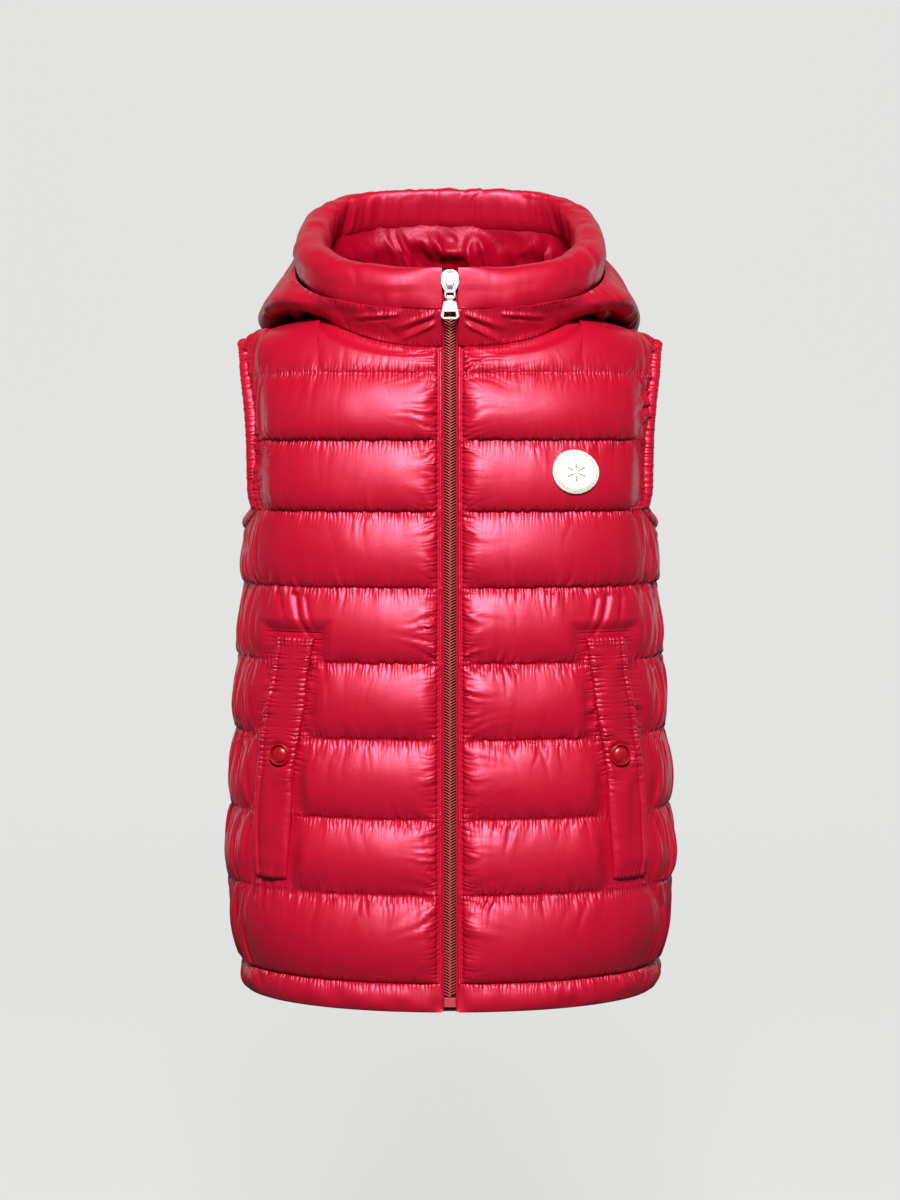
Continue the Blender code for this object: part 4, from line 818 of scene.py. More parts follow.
# %% Bare half panel
def half_panel(side, shares, beside, start_x):
    """Bare points and padding of the half panel at +X, as rows by columns."""
    corner_z = HEM_Z + QUILT_HEIGHTS[UNDERARM_SEAM]
    angle = corner_angle()
    main = len(shares)
    place = np.zeros((ROWS, main + len(beside), 3))
    padding = np.zeros(place.shape[:2])
    dip = UNDERARM_DROP * (1 - (1 - beside) ** 2)
    for k in range(BAFFLES):
        low, high = HEM_Z + QUILT_HEIGHTS[k], HEM_Z + QUILT_HEIGHTS[k + 1]
        for n, step in enumerate(LEVEL_STEPS):
            i = k * BAFFLE_ROWS + n
            z = low + (high - low) * step
            end_x = x_at_angle(z, angle) if i <= CORNER_ROW else armhole_x(z)
            x = start_x + (end_x - start_x) * shares
            place[i, :main] = np.stack([x, side * body_depth(side, x, z), x * 0 + z], -1)
            padding[i, :main] = puff(side, x, x * 0 + z, k, step)
            if i > CORNER_ROW:
                continue
            top = high - dip if k == UNDERARM_SEAM - 1 else high
            side_z = corner_z - dip if i == CORNER_ROW else low + (top - low) * step
            x = x_at_angle(side_z, angle + (math.pi / 2 - angle) * beside)
            place[i, main:] = np.stack([x, side * body_depth(side, x, side_z), x * 0 + side_z], -1)
            if i < CORNER_ROW:
                padding[i, main:] = puff(side, x, side_z, k, step)
    quilt_z = HEM_Z + QUILT_HEIGHTS[-1]
    quilt_x = start_x + (armhole_x(quilt_z) - start_x) * shares
    top_x = start_x + (SHOULDER_TIP_X - start_x) * shares
    top_z = np.where(top_x < NECK_HALF_WIDTH - 1e-6, neck_z(side, top_x), ridge_z(top_x))
    low_curl, high_curl = curl_angle(quilt_x, quilt_z), curl_angle(top_x, top_z)
    for n, step in enumerate(TOP_STEPS):
        x = quilt_x + (top_x - quilt_x) * step
        z = curl_z(x, low_curl + (high_curl - low_curl) * step)
        place[TOP_ROW + n, :main] = np.stack([x, side * body_depth(side, x, z), z], -1)
        padding[TOP_ROW + n, :main] = puff(side, x, z, BAFFLES, step)
    return place, padding

def grid_normals(place, side):
    return unit(-side * np.cross(np.gradient(place, axis=1), np.gradient(place, axis=0)))

def panel_normals(side, place, main):
    normal = np.zeros_like(place)
    last = main - 1
    normal[:, :main] = grid_normals(place[:, :main], side)
    beside = grid_normals(place[: CORNER_ROW + 1, last:], side)
    normal[: CORNER_ROW + 1, main:] = beside[:, 1:]
    normal[: CORNER_ROW + 1, last] = unit(normal[: CORNER_ROW + 1, last] + beside[:, 0])
    return normal

# %% [markdown]
# ### Where each point lies on the cloth
# A fold needs to know how far along the seam it is and how far from it. Both are measured over
# the cloth itself, so that folds keep their spacing where the panel turns round the side.

# %% Cloth distances
def cloth_distances(place):
    """Distance along each row and up each column, over the bare surface."""
    across = np.linalg.norm(np.diff(place, axis=1), axis=-1)
    up = np.linalg.norm(np.diff(place, axis=0), axis=-1)
    along = np.concatenate([np.zeros((len(place), 1)), np.cumsum(across, axis=1)], axis=1)
    rise = np.concatenate([np.zeros((1, place.shape[1])), np.cumsum(up, axis=0)])
    return along, rise

def seam_rows():
    return [k * BAFFLE_ROWS for k in range(BAFFLES + 1)] + [ROWS - 1]

# %% [markdown]
# ### Folds of a panel
# Each roll has gathers from both its seams, a slow swelling, and long folds round the side. They
# could be sculpted by hand, but worked-out heights keep in step with the seams.

# %% Folds of one half panel
ZIP_PLEATS = ((0.0034, 0.50, 0.0050), (0.0056, 0.50, 0.0095), (0.0100, 0.16, 0.0170))
ARM_PLEATS = ((0.0020, 0.60, 0.0040), (0.0040, 0.46, 0.0100), (0.0090, 0.22, 0.0240))
WELT_PLEATS = ((0.0022, 0.60, 0.0040), (0.0044, 0.42, 0.0085))
SIDE_FROM, SIDE_BLEND = 0.86, 0.10  # where the side begins, as a share of the half width
SIDE_WRINKLES = ((0.0036, 0.0019), (0.0074, 0.0015))  # spacing and height of its long folds
SIDE_BOW = 0.0060
SEAM_BOOST = (0.9, 1.0, 1.0, 1.0, 1.0, 1.0, 0.9, 0.7, 0.55, 0.6)
PUFF_CHANGE = 0.07
ROLL_X, ROLL_HALF, ROLL_HEIGHT = 0.0063, 0.0011, 0.0009
STITCH_DITCH, STITCH_DITCH_HALF = 0.00035, 0.00045
SAG = 0.0014
SEAM_FILL = 0.0017  # the gathered cloth fills the bottom of each seam's ditch
OVERHANG, OVERHANG_REACH = 0.0003, 0.0040
SEAM_WOBBLE, WOBBLE_SPACING, WOBBLE_REACH = 0.0009, 0.0016, 0.0030  # gathers pull the seam about
STEADY_X = 0.0105  # beside the zip the seam doesn't wobble

def half_folds(sign, place, padding, seed):
    """Height of the folds off the bare surface, the slide down the cloth, and seam distances."""
    along, rise = cloth_distances(place)
    signed = along * sign
    x, z = place[..., 0], place[..., 2]
    height = np.zeros_like(padding)
    slide = np.zeros_like(padding)
    off_seam = np.zeros_like(padding)
    rows = seam_rows()
    round_side = ramp((x / section("half_width", z) - SIDE_FROM) / SIDE_BLEND)
    grown = 1 + PUFF_CHANGE * noise(signed / 0.045, rise / 0.03, seed)
    grown = grown + PUFF_CHANGE / 2 * noise(signed / 0.016, rise / 0.02, seed + 1)
    for k, (low, high) in enumerate(zip(rows, rows[1:])):
        part = slice(low, high + 1 if k == len(rows) - 2 else high)
        below = rise[part] - rise[low]
        above = rise[high] - rise[part]
        run = signed[part]
        folds = SEAM_BOOST[k] * pleats(run, below, seed + 100 * k)
        folds += SEAM_BOOST[k + 1] * pleats(run, -above, seed + 100 * (k + 1))
        step = np.clip(below / (below + above + 1e-9), 0, 1)
        bowed = run - sign * SIDE_BOW * lift(step)
        for n, (spacing, tall) in enumerate(SIDE_WRINKLES):
            ridges = ridged(noise(bowed / spacing, 0.7 * step + 3 * k, seed + 50 + n), 1.7, 0.55)
            folds += tall * ridges * lift(step) ** 0.6 * round_side[part]
        fill = SEAM_FILL * ramp(rise[part] / 0.004) * ramp((rise[-1] - rise[part]) / 0.004)
        height[part] = np.hypot(padding[part] * grown[part], fill) + folds
        full = np.clip(padding[part] / FRONT_PUFF, 0, 1)
        slide[part] = SAG * full
        fold_over = below / OVERHANG_REACH * np.exp(1 - below / OVERHANG_REACH)
        slide[part] += OVERHANG * fold_over * (1 + 0.8 * noise(run / 0.006, 3, seed + k)) * full**0.5
        for gap, seam in ((below, k), (above, k + 1)):
            wobble = noise(run / WOBBLE_SPACING, 0.5, seed + 900 + seam) * hump(gap, WOBBLE_REACH)
            wobble = SEAM_WOBBLE * wobble * (0 < seam < len(rows) - 1)
            slide[part] += wobble * ramp(x[part] / STEADY_X - 0.8)
        off_seam[part] = np.minimum(below, above)
    return height, slide, off_seam, signed, rise

def zip_edge(height, x, rise, step_share, seed):
    """The rolled edge beside the zip, its row of stitches, and short folds across it."""
    roll = half_round(x - ROLL_X, ROLL_HALF) * ROLL_HEIGHT
    roll = roll * (1 + 0.16 * noise(rise / 0.0022, 0, seed))
    off = x - ZIP_STITCH_X
    ditch = STITCH_DITCH * hump(off, STITCH_DITCH_HALF)
    fan = rise + off * (2 * step_share - 1) * 0.9
    folds = pleats(fan, off, seed + 5, ZIP_PLEATS) * ramp(off / 0.0012)
    return height * ramp((x - 0.0075) / 0.002) + roll - ditch + folds * (0.35 + 0.65 * lift(step_share))

# %% Gathers at the pocket and the armhole
FAR_OFF = 0.05  # stands for a distance at which no gather shows

def welt_gathers(x, z, rise, seed):
    """Folds beside the pocket, and how far each point is from its gathered edge."""
    beside = welt_distance(x, z)
    gathered = welt_gathered(z - HEM_Z)
    folds = (0.15 + 0.85 * gathered) * pleats(rise, beside + 0.001, seed, WELT_PLEATS)
    off = np.where(x < WELT_REACH_X, beside + 0.02 * (1 - gathered), FAR_OFF)
    return folds * ramp(beside / 0.002) * (x < WELT_REACH_X), off

def armhole_gathers(signed, rise, sign, main, seed):
    """Folds beside the armhole, and how far each point is from its edge."""
    off = signed[CORNER_ROW:, main - 1 : main] * sign - signed[CORNER_ROW:, :main] * sign
    folds, off_edge = np.zeros_like(rise), np.full_like(rise, FAR_OFF)
    edge_rise = rise[CORNER_ROW:, main - 1 : main]
    folds[CORNER_ROW:, :main] = pleats(edge_rise, off + JUST_OFF, seed, ARM_PLEATS)
    off_edge[CORNER_ROW:, :main] = off
    return folds, off_edge

# %% Finish a half panel
def step_shares(rise):
    """Share of the way from each row's seam to the next one."""
    rows = seam_rows()
    share = np.zeros_like(rise)
    for low, high in zip(rows, rows[1:]):
        span = np.maximum(rise[high] - rise[low], 1e-9)
        share[low : high + 1] = (rise[low : high + 1] - rise[low]) / span
    return np.clip(share, 0, 1)

INNER_BULGE = 0.0012  # the padding swells a little towards the wearer too
QUILT_LINES, ZIP_LINES = [], []  # paths for the stitches, with their normals

def keep_stitch_lines(outer, normal, x, start_x, sign):
    """Keeps the paths of the seams, and of the stitches beside the zip, for the thread."""
    for points, ways in [(outer[row], normal[row]) for row in seam_rows()[1:-1]]:
        keep = points[:, 0] != 0 if start_x == 0 else points[:, 0] > ZIP_STITCH_X + 0.001
        QUILT_LINES.append((points[keep] * (sign, 1, 1), ways[keep] * (sign, 1, 1)))
    if start_x:
        column = int(np.argmin(np.abs(x[0] - ZIP_STITCH_X)))
        ZIP_LINES.append((outer[:, column] * (sign, 1, 1), normal[:, column] * (sign, 1, 1)))

def dressed_half(side, sign, shares, beside, start_x, seed, hand_folds=()):
    """Both sheets of the half panel at +X with all their folds, and the distances from its seams."""
    main = len(shares)
    place, padding = half_panel(side, shares, beside, start_x)
    normal = panel_normals(side, place, main)
    if start_x == 0:
        normal[:, 0, 0] = 0
        normal[:, 0] = unit(normal[:, 0])
    height, slide, off_seam, signed, rise = half_folds(sign, place, padding, seed)
    x, z = place[..., 0], place[..., 2]
    share = step_shares(rise)
    arm_folds, off_edge = armhole_gathers(signed, rise, sign, main, seed + 600)
    if side < 0:
        height = zip_edge(height, x, rise, share, seed + 400)
        welt_folds, off_welt = welt_gathers(x, z, rise, seed + 500)
        height += welt_folds
        off_zip = np.where(x > ZIP_STITCH_X - 0.0005, np.abs(x - ZIP_STITCH_X), FAR_OFF)
        off_edge = np.minimum(np.minimum(off_edge, off_zip), off_welt)
    height += arm_folds
    height += creases(x, z, hand_folds)
    groove = ramp(np.abs(place[..., 1]) / SIDE_SEAM_FADE)
    at_side = x > 0.9 * section("half_width", z)
    height = np.where(at_side, height * (0.15 + 0.85 * groove), height)
    down = -unit(np.gradient(place, axis=0))
    down[:, main:][CORNER_ROW + 1 :] = 0
    outer = place + normal * height[..., None] + down * slide[..., None]
    keep_stitch_lines(outer, normal, x, start_x, sign)
    bulge = INNER_BULGE * lift(share) * (1 + 0.5 * noise(signed / 0.02, rise / 0.02, seed + 9))
    inner = place - normal * (WALL + bulge)[..., None]
    places = {"along_seam": signed, "off_seam": off_seam, "along_edge": rise, "off_edge": off_edge}
    return outer, inner, places

# %% Fit a half panel to its seams
SIDE_LAP = 0.0004  # front and back overlap in the side seam, so no light comes through

def settle(outer, inner, side, low_x):
    """Keeps both sheets clear of the side seam, the hem band's seam and the zip."""
    for sheet in (outer, inner):
        sheet[..., 1] = side * np.maximum(side * sheet[..., 1], SEAM_GAP / 2)
        sheet[0, :, 2] = HEM_Z + QUILT_HEIGHTS[0] + SEAM_GAP / 2
        if low_x:
            sheet[..., 0] = np.maximum(sheet[..., 0], low_x)
        sheet[: CORNER_ROW + 1, -1, 1] = -side * SIDE_LAP

def panel_tops(main, beside):
    return [ROWS - 1] * (main - 1) + [CORNER_ROW] * beside

def store_values(piece, values):
    """Stores numbers for a mesh's points, for its material to read."""
    for name, numbers in values.items():
        filled = np.zeros(len(piece.data.vertices), np.float32)
        filled[: numbers.size] = numbers.ravel()
        made = piece.data.attributes.new(name, "FLOAT", "POINT")
        made.data.foreach_set("value", filled)

def store_places(piece, places, kept, tops=None):
    """Stores seam distances for a wall's outer sheet and then for its inner one."""
    kept, _, there = wall_parts(places["along_seam"].shape, kept, tops)
    store_values(piece, {
        name: np.concatenate([grid[there], grid[kept][there[kept]]]) for name, grid in places.items()
    })

def other_side(outer, inner, places):
    """Both sheets and their seam distances for the piece on the other side of the vest."""
    return mirrored(outer), mirrored(inner), {name: grid[:, ::-1] for name, grid in places.items()}

# %% [markdown]
# ### Fronts and back
# A front is one half panel. The back is two halves with no seam between them. One helper makes all
# four halves. Each front has its own seed and its own listed creases, and the back's halves share
# one seed, so no two match.

# %% Fronts
FRONT_SHARES = column_shares(BESIDE_ZIP, FRONT_STEP)
FRONT_BESIDE = side_shares(FRONT_STEP * 1.15)
LEVEL_KEPT, TOP_KEPT = range(0, TOP_ROW, BAFFLE_ROWS // INNER_PER_BAFFLE), range(TOP_ROW, ROWS, 8)
KEPT_ROWS = sorted({*LEVEL_KEPT, *TOP_KEPT, ROWS - 1})
# Deep troughs above each pocket, as x, z at both ends, half width, height.
LEFT_FOLDS = (
    (0.1040, -0.1950, 0.0930, -0.2250, 0.0019, -0.0022),
    (0.0960, -0.1960, 0.0890, -0.2170, 0.0015, -0.0013),
    (0.1130, -0.1960, 0.1090, -0.2140, 0.0014, -0.0010),
)
RIGHT_FOLDS = (
    (0.1020, -0.1945, 0.0915, -0.2260, 0.0019, -0.0023),
    (0.0945, -0.1955, 0.0870, -0.2190, 0.0015, -0.0012),
    (0.1120, -0.1950, 0.1060, -0.2120, 0.0013, -0.0010),
)

def make_front(name, sign, seed, hand_folds):
    outer, inner, places = dressed_half(-1, sign, FRONT_SHARES, FRONT_BESIDE, ZIP_EDGE_X, seed, hand_folds)
    settle(outer, inner, -1, ZIP_EDGE_X)
    tops = panel_tops(len(FRONT_SHARES), len(FRONT_BESIDE))
    if sign < 0:
        outer, inner, places = other_side(outer, inner, places)
        tops = tops[::-1]
    piece = cloth_wall(name, outer, inner, NYLON, KEPT_ROWS, tops)
    store_places(piece, places, KEPT_ROWS, tops)
    return piece

quilted_front_left = make_front("quilted_front_left", 1, 11, LEFT_FOLDS)
quilted_front_right = make_front("quilted_front_right", -1, 2011, RIGHT_FOLDS)

# %% Back
BACK_SHARES = column_shares(np.array([0.0]), BACK_STEP)
BACK_BESIDE = side_shares(BACK_STEP * 1.1)
BACK_SEED = 4011

def make_back():
    halves = [dressed_half(1, sign, BACK_SHARES, BACK_BESIDE, 0, BACK_SEED) for sign in (-1, 1)]
    tops = panel_tops(len(BACK_SHARES), len(BACK_BESIDE))
    outer, inner = (np.concatenate([mirrored(halves[0][k]), halves[1][k][:, 1:]], axis=1) for k in (0, 1))
    left, right = halves[0][2], halves[1][2]
    places = {name: np.concatenate([left[name][:, ::-1], right[name][:, 1:]], axis=1) for name in left}
    for sheet in (outer, inner):
        sheet[:, len(BACK_SHARES) + len(BACK_BESIDE) - 1, 0] = 0
    settle(outer, inner, 1, 0)
    tops = tops[::-1] + tops
    piece = cloth_wall("quilted_back", outer, inner, NYLON, KEPT_ROWS, tops)
    store_places(piece, places, KEPT_ROWS, tops)
    return piece

quilted_back = make_back()

for piece, node in (
    (quilted_front_left, "front_left"),
    (quilted_front_right, "front_right"),
    (quilted_back, "back"),
):
    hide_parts(node)

# %% [markdown]
# ## Hem band
# A narrow casing closes the hem. Elastic in its sides gathers it there, and beside the zip it is
# stitched flat. It is one strip round the whole hem, so it is made as a ring of level sections.

# %% Hem band
HEM_PUFF = 0.0034
HEM_COLUMNS = 520
HEM_ROWS = 22
HEM_GATHER_HEIGHT = 0.0013
HEM_FLAT_RUN = 0.011  # beside the zip the band is stitched flat
ELASTIC_FROM, ELASTIC_TO, ELASTIC_FADE = 40, 125, 15  # degrees from the middle of the back

def ring_point(z, angle):
    """A point of the level section at an angle from the front, from 0 to a whole turn."""
    n = section("squareness", z)
    depth = np.where(np.cos(angle) > 0, section("front_depth", z), section("back_depth", z))
    sine, cosine = np.sin(angle), np.cos(angle)
    x = section("half_width", z) * np.sign(sine) * np.abs(sine) ** (2 / n)
    y = -depth * np.sign(cosine) * np.abs(cosine) ** (2 / n)
    return np.stack([x, y, x * 0 + z], -1)

def make_hem_band():
    share = ZIP_EDGE_X / section("half_width", HEM_Z)
    first = math.asin(share ** (section("squareness", HEM_Z) / 2))
    angles = np.linspace(first, 2 * math.pi - first, HEM_COLUMNS)
    top = HEM_Z + QUILT_HEIGHTS[0] - SEAM_GAP / 2
    outer, inner = [], []
    for step in crowded(HEM_ROWS):
        bare = ring_point(HEM_Z + (top - HEM_Z) * step, angles)
        run = lengths_along(bare)
        along = np.gradient(bare, axis=0)
        normal = unit(np.stack([along[:, 1], -along[:, 0], along[:, 0] * 0], -1))
        near_zip = np.minimum(run, run[-1] - run)
        full = HEM_PUFF * ramp(near_zip / HEM_FLAT_RUN)
        turn = np.abs(np.degrees(angles) - 180)
        elastic = ramp((turn - ELASTIC_FROM) / ELASTIC_FADE) * ramp((ELASTIC_TO - turn) / ELASTIC_FADE)
        waves = noise(run / 0.0052, 0.35 * step, 71) + 0.5 * noise(run / 0.0026, 0.5 * step, 72)
        gathers = HEM_GATHER_HEIGHT * elastic * waves
        below_top = (top - HEM_Z) * (1 - step)
        upper = pleats(run, below_top + JUST_OFF, 73) * ramp(near_zip / 0.008)
        soft = 0.0011 * noise(run / 0.015, 1.5 * step, 74)
        raised = (full * (1 + 0.1 * noise(run / 0.03, 0, 75)) + gathers + soft) * lift(step) + upper
        outer.append(bare + normal * raised[:, None])
        inner.append(bare - normal * WALL)
    outer, inner = np.array(outer), np.array(inner)
    for sheet in (outer, inner):
        sheet[:, 0, 0] = ZIP_EDGE_X
        sheet[:, -1, 0] = -ZIP_EDGE_X
    kept = (0, HEM_ROWS // 2, HEM_ROWS - 1)
    piece = cloth_wall("gathered_hem_band", outer, inner, NYLON, kept)
    off = (top - HEM_Z) * (1 - crowded(HEM_ROWS))[:, None] + 0 * run
    store_places(piece, {"along_seam": run + 0 * off, "off_seam": off}, kept)
    return piece

gathered_hem_band = make_hem_band()
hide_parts("hem_band")

# %% [markdown]
# ## Armhole bands
# Each armhole is bound with a strip of the same nylon, gathered on elastic into hundreds of tiny
# scallops. The strip is swept round the armhole's edge, and its thickness rises and falls with
# the gathers.

# %% Armhole bands
BAND_HALF_WIDTH = 0.0036
BAND_HALF_THICKNESS = 0.0023
BAND_LEAN = 0.35
BAND_UNDERARM_LEAN = 3.0
BAND_LEAN_RISE = 0.030
BAND_STEPS = 760
BAND_AROUND = 14
BAND_GATHER_SPACING = 0.0021
BAND_GATHER_HEIGHT = 0.0009
BAND_LAP = 0.0006  # the band is sewn over the edge of the panels
BAND_SMOOTHING = 60
BAND_WALL = 0.0006
BAND_BLEND = 0.03  # the last share of the loop, where the gathers run into the first ones

def armhole_loop():
    """The armhole's seam at +X as a closed run of points, from the underarm up the front."""
    runs = []
    for side, shares, beside in ((-1, FRONT_SHARES, FRONT_BESIDE), (1, BACK_SHARES, BACK_BESIDE)):
        start_x = ZIP_EDGE_X if side < 0 else 0
        place, _ = half_panel(side, shares, beside, start_x)
        main = len(shares)
        runs.append((place[CORNER_ROW, main:], place[CORNER_ROW:, main - 1]))
    (under_front, up_front), (under_back, up_back) = runs
    run = np.concatenate([under_front[::-1], up_front, up_back[::-1][1:], under_back[:-1]])
    closed = np.concatenate([run, run[:1]])
    lengths = lengths_along(closed)
    at = np.linspace(0, lengths[-1], BAND_STEPS, endpoint=False)
    points = point_at(closed, lengths, at)
    for _ in range(BAND_SMOOTHING):
        points = (np.roll(points, 1, 0) + 2 * points + np.roll(points, -1, 0)) / 4
    return points, at

def band_rings(seed):
    """Rings of points round the armhole at +X, thick and thin with the gathers."""
    seam, at = armhole_loop()
    tangent = unit(np.roll(seam, -1, 0) - np.roll(seam, 1, 0))
    inward = (seam.mean(axis=0) - seam) * (0, 1, 1)
    low = 1 - ramp((seam[:, 2:] - seam[:, 2].min()) / BAND_LEAN_RISE)
    lean = BAND_LEAN + (BAND_UNDERARM_LEAN - BAND_LEAN) * low
    outward = unit(inward) * lean + np.array([1.0, 0, 0])
    outward = unit(outward - tangent * (outward * tangent).sum(-1, keepdims=True))
    across = np.cross(outward, tangent)
    whole = at[-1] + at[1]
    blend = ramp((at - whole * (1 - BAND_BLEND)) / (whole * BAND_BLEND))
    calm = 0.75 + 0.35 * noise(at / 0.02, 0, seed + 1)

    def gather(at, shift):
        return ridged(noise(at / BAND_GATHER_SPACING, shift, seed), 1.6)

    rings = []
    for k in range(BAND_AROUND):
        turn = 2 * math.pi * (k + 0.5) / BAND_AROUND
        shift = 0.35 * math.cos(turn)
        wave = gather(at, shift) * (1 - blend) + gather(at - whole, shift) * blend
        broad = 0.5 - 0.5 * math.cos(turn * 2)  # the gathers show on the band's two broad sides
        thick = BAND_HALF_THICKNESS + BAND_GATHER_HEIGHT * wave * calm * broad
        width = BAND_HALF_WIDTH * (1 + 0.05 * wave * (math.cos(turn) > 0))
        reach = (width + 0.0007) * (1 + math.cos(turn) * 1.02) - BAND_LAP
        rings.append(seam + outward * reach[:, None] + across * (thick * math.sin(turn))[:, None])
    return np.stack(rings, 1)

band_left = tube("armhole_binding_left", band_rings(81), NYLON, closed=True, wall=BAND_WALL)
right_rings = band_rings(91) * (-1, 1, 1)
band_right = tube("armhole_binding_right", right_rings, NYLON, closed=True, wall=BAND_WALL)
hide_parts("armhole_band_left")
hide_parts("armhole_band_right")

# %% [markdown]
# ## Hood
# The hood is a deep bag of padded nylon turned round the neck. It lies folded back on the
# shoulders, and its opening is a fat padded tube. In front the same cloth stands up as a collar.
# Bag, tube and lining share one surface: knots from the neck seam to the rim, joined smoothly.

# %% Hood measures
BRIM_HALF_WIDTH = 0.0965
BRIM_FRONT = 0.0815
BRIM_BACK = 0.0800
BRIM_FRONT_SQUARENESS = 2.4
BRIM_BACK_SQUARENESS = 3.3
BRIM_FRONT_TOP_Z = 0.0240
BRIM_TILT = 0.42
BRIM_HEIGHT = 0.0320
BRIM_SEAM_BELOW_TOP = 0.0277
BRIM_THICKNESS = 0.0240
BRIM_END_THICKNESS = 0.0022
BRIM_PINCH_START_X = 0.0095
BRIM_PINCH_LENGTH = 0.030
BRIM_SEAM_OUT = 0.0115
BRIM_SEAM_RISE = 0.0047
HOOD_NECK_RISE = 0.0010
LINING_SEAM_IN = 0.0098
LINING_SEAM_DROP = -0.0012
LINING_BEHIND = 0.0050
LINING_THICKNESS = 0.0012
HOOD_COLUMNS = (
    "angle", "root_out", "root_z", "low_out", "low_z", "reach_out", "reach_z", "crown_out", "crown_z"
)
HOOD = (
    (0, 0.0855, -0.0235, 0.0875, -0.0185, 0.0895, -0.0135, 0.0915, -0.0085),
    (30, 0.0900, -0.0210, 0.0930, -0.0160, 0.0960, -0.0110, 0.0980, -0.0055),
    (50, 0.0965, -0.0120, 0.1005, -0.0075, 0.1035, -0.0025, 0.1055, 0.0010),
    (75, 0.1000, -0.0030, 0.1170, -0.0015, 0.1250, 0.0050, 0.1190, 0.0125),
    (95, 0.1040, -0.0020, 0.1255, -0.0085, 0.1335, -0.0010, 0.1225, 0.0165),
    (125, 0.1110, -0.0050, 0.1390, -0.0360, 0.1520, -0.0120, 0.1370, 0.0300),
    (155, 0.1000, -0.0090, 0.1280, -0.0680, 0.1600, -0.0360, 0.1430, 0.0240),
    (180, 0.0920, -0.0110, 0.1200, -0.0780, 0.1600, -0.0440, 0.1420, 0.0220),
)
HOOD_STRIP_ANGLE = 162

# %% Hood surface
def neck_ring():
    """Angle from the front, distance from the axis and height of the neck seam, at +X."""
    x = NECK_HALF_WIDTH * np.sin(np.linspace(0, math.pi / 2, 40))
    rows = []
    for side, order in ((-1, slice(None)), (1, slice(-2, None, -1))):
        z = neck_z(side, x)
        rows.append(np.stack([x, side * body_depth(side, x, z), z], -1)[order])
    ring = np.concatenate(rows)
    return np.arctan2(ring[:, 0], -ring[:, 1]), np.hypot(ring[:, 0], ring[:, 1]), ring[:, 2]

NECK_ANGLE, NECK_RADIUS, NECK_Z = neck_ring()

def brim_radius(angle):
    behind = ramp((angle - math.radians(60)) / math.radians(60))
    n = BRIM_FRONT_SQUARENESS + (BRIM_BACK_SQUARENESS - BRIM_FRONT_SQUARENESS) * behind
    depth = BRIM_FRONT + (BRIM_BACK - BRIM_FRONT) * behind
    across = np.abs(np.sin(angle)) / BRIM_HALF_WIDTH
    along = np.abs(np.cos(angle)) / depth
    return (across**n + along**n) ** (-1 / n)

def brim_top_z(y):
    return BRIM_FRONT_TOP_Z + BRIM_TILT * (y + BRIM_FRONT)

def pick(stack, index):
    return np.take_along_axis(stack, index[None], axis=0)[0]

def hood_surface(angle, share):
    """A point of the bag at +X. share runs from 0 at the neck seam to 1 at the rim seam."""
    angle, share = np.broadcast_arrays(np.asarray(angle, float), np.asarray(share, float))
    degrees = np.degrees(angle)
    neck_level = np.interp(angle, NECK_ANGLE, NECK_Z) + HOOD_NECK_RISE
    knots = [(np.interp(angle, NECK_ANGLE, NECK_RADIUS), neck_level)]
    for name in ("root", "low", "reach", "crown"):
        out = read_table(HOOD, HOOD_COLUMNS, name + "_out", degrees)
        knots.append((out, read_table(HOOD, HOOD_COLUMNS, name + "_z", degrees)))
    radius = brim_radius(angle)
    seam_z = brim_top_z(-radius * np.cos(angle)) - BRIM_SEAM_BELOW_TOP - SEAM_GAP
    knots.append((radius + BRIM_SEAM_OUT, seam_z))
    knots = np.array(knots)
    slopes = np.gradient(knots, axis=0)
    at = share * (len(knots) - 1)
    i = np.clip(at.astype(int), 0, len(knots) - 2)
    s = at - i
    values = []
    for k in range(2):
        here, there = pick(knots[:, k], i), pick(knots[:, k], i + 1)
        leave, arrive = pick(slopes[:, k], i), pick(slopes[:, k], i + 1)
        level = here * (1 + 2 * s) * (1 - s) ** 2 + there * s * s * (3 - 2 * s)
        values.append(level + leave * s * (1 - s) ** 2 - arrive * s * s * (1 - s))
    out, z = values
    return np.stack([out * np.sin(angle), -out * np.cos(angle), z], -1)

def hood_frame(angle, share):
    """Point and outward normal of the bag."""
    small = 1e-3
    point = hood_surface(angle, share)
    lower, higher = np.maximum(share - small, 0), np.minimum(share + small, 1)
    up = hood_surface(angle, higher) - hood_surface(angle, lower)
    before, after = np.maximum(angle - small, 0), np.minimum(angle + small, math.pi)
    along = hood_surface(after, share) - hood_surface(before, share)
    return point, unit(np.cross(along, up))

# %% Hood bag
HOOD_ROWS = 84
HOOD_SIDE_COLUMNS = 250
HOOD_CENTRE_COLUMNS = 30
HOOD_KEPT = [*range(0, HOOD_ROWS - 1, 8), HOOD_ROWS - 1]
HOOD_PLEATS = (FINE_PLEATS, MIDDLE_PLEATS, (0.0120, 0.16, 0.0300))
HOOD_STRIP_RADIUS = 0.08
SLACK_FRONT, SLACK_BEHIND = 0.0006, 0.0030  # the bag's cloth hangs slacker behind
# x, z at the strong end and at the far end, half width, height
COLLAR_FOLDS = (
    (0.0075, -0.0060, 0.0380, -0.0160, 0.0017, 0.0019),
    (0.0075, -0.0090, 0.0340, -0.0195, 0.0014, -0.0013),
    (0.0080, -0.0120, 0.0342, -0.0245, 0.0016, 0.0020),
    (0.0360, -0.0070, 0.0660, -0.0080, 0.0015, 0.0016),
    (0.0420, -0.0100, 0.0660, -0.0110, 0.0013, -0.0011),
)

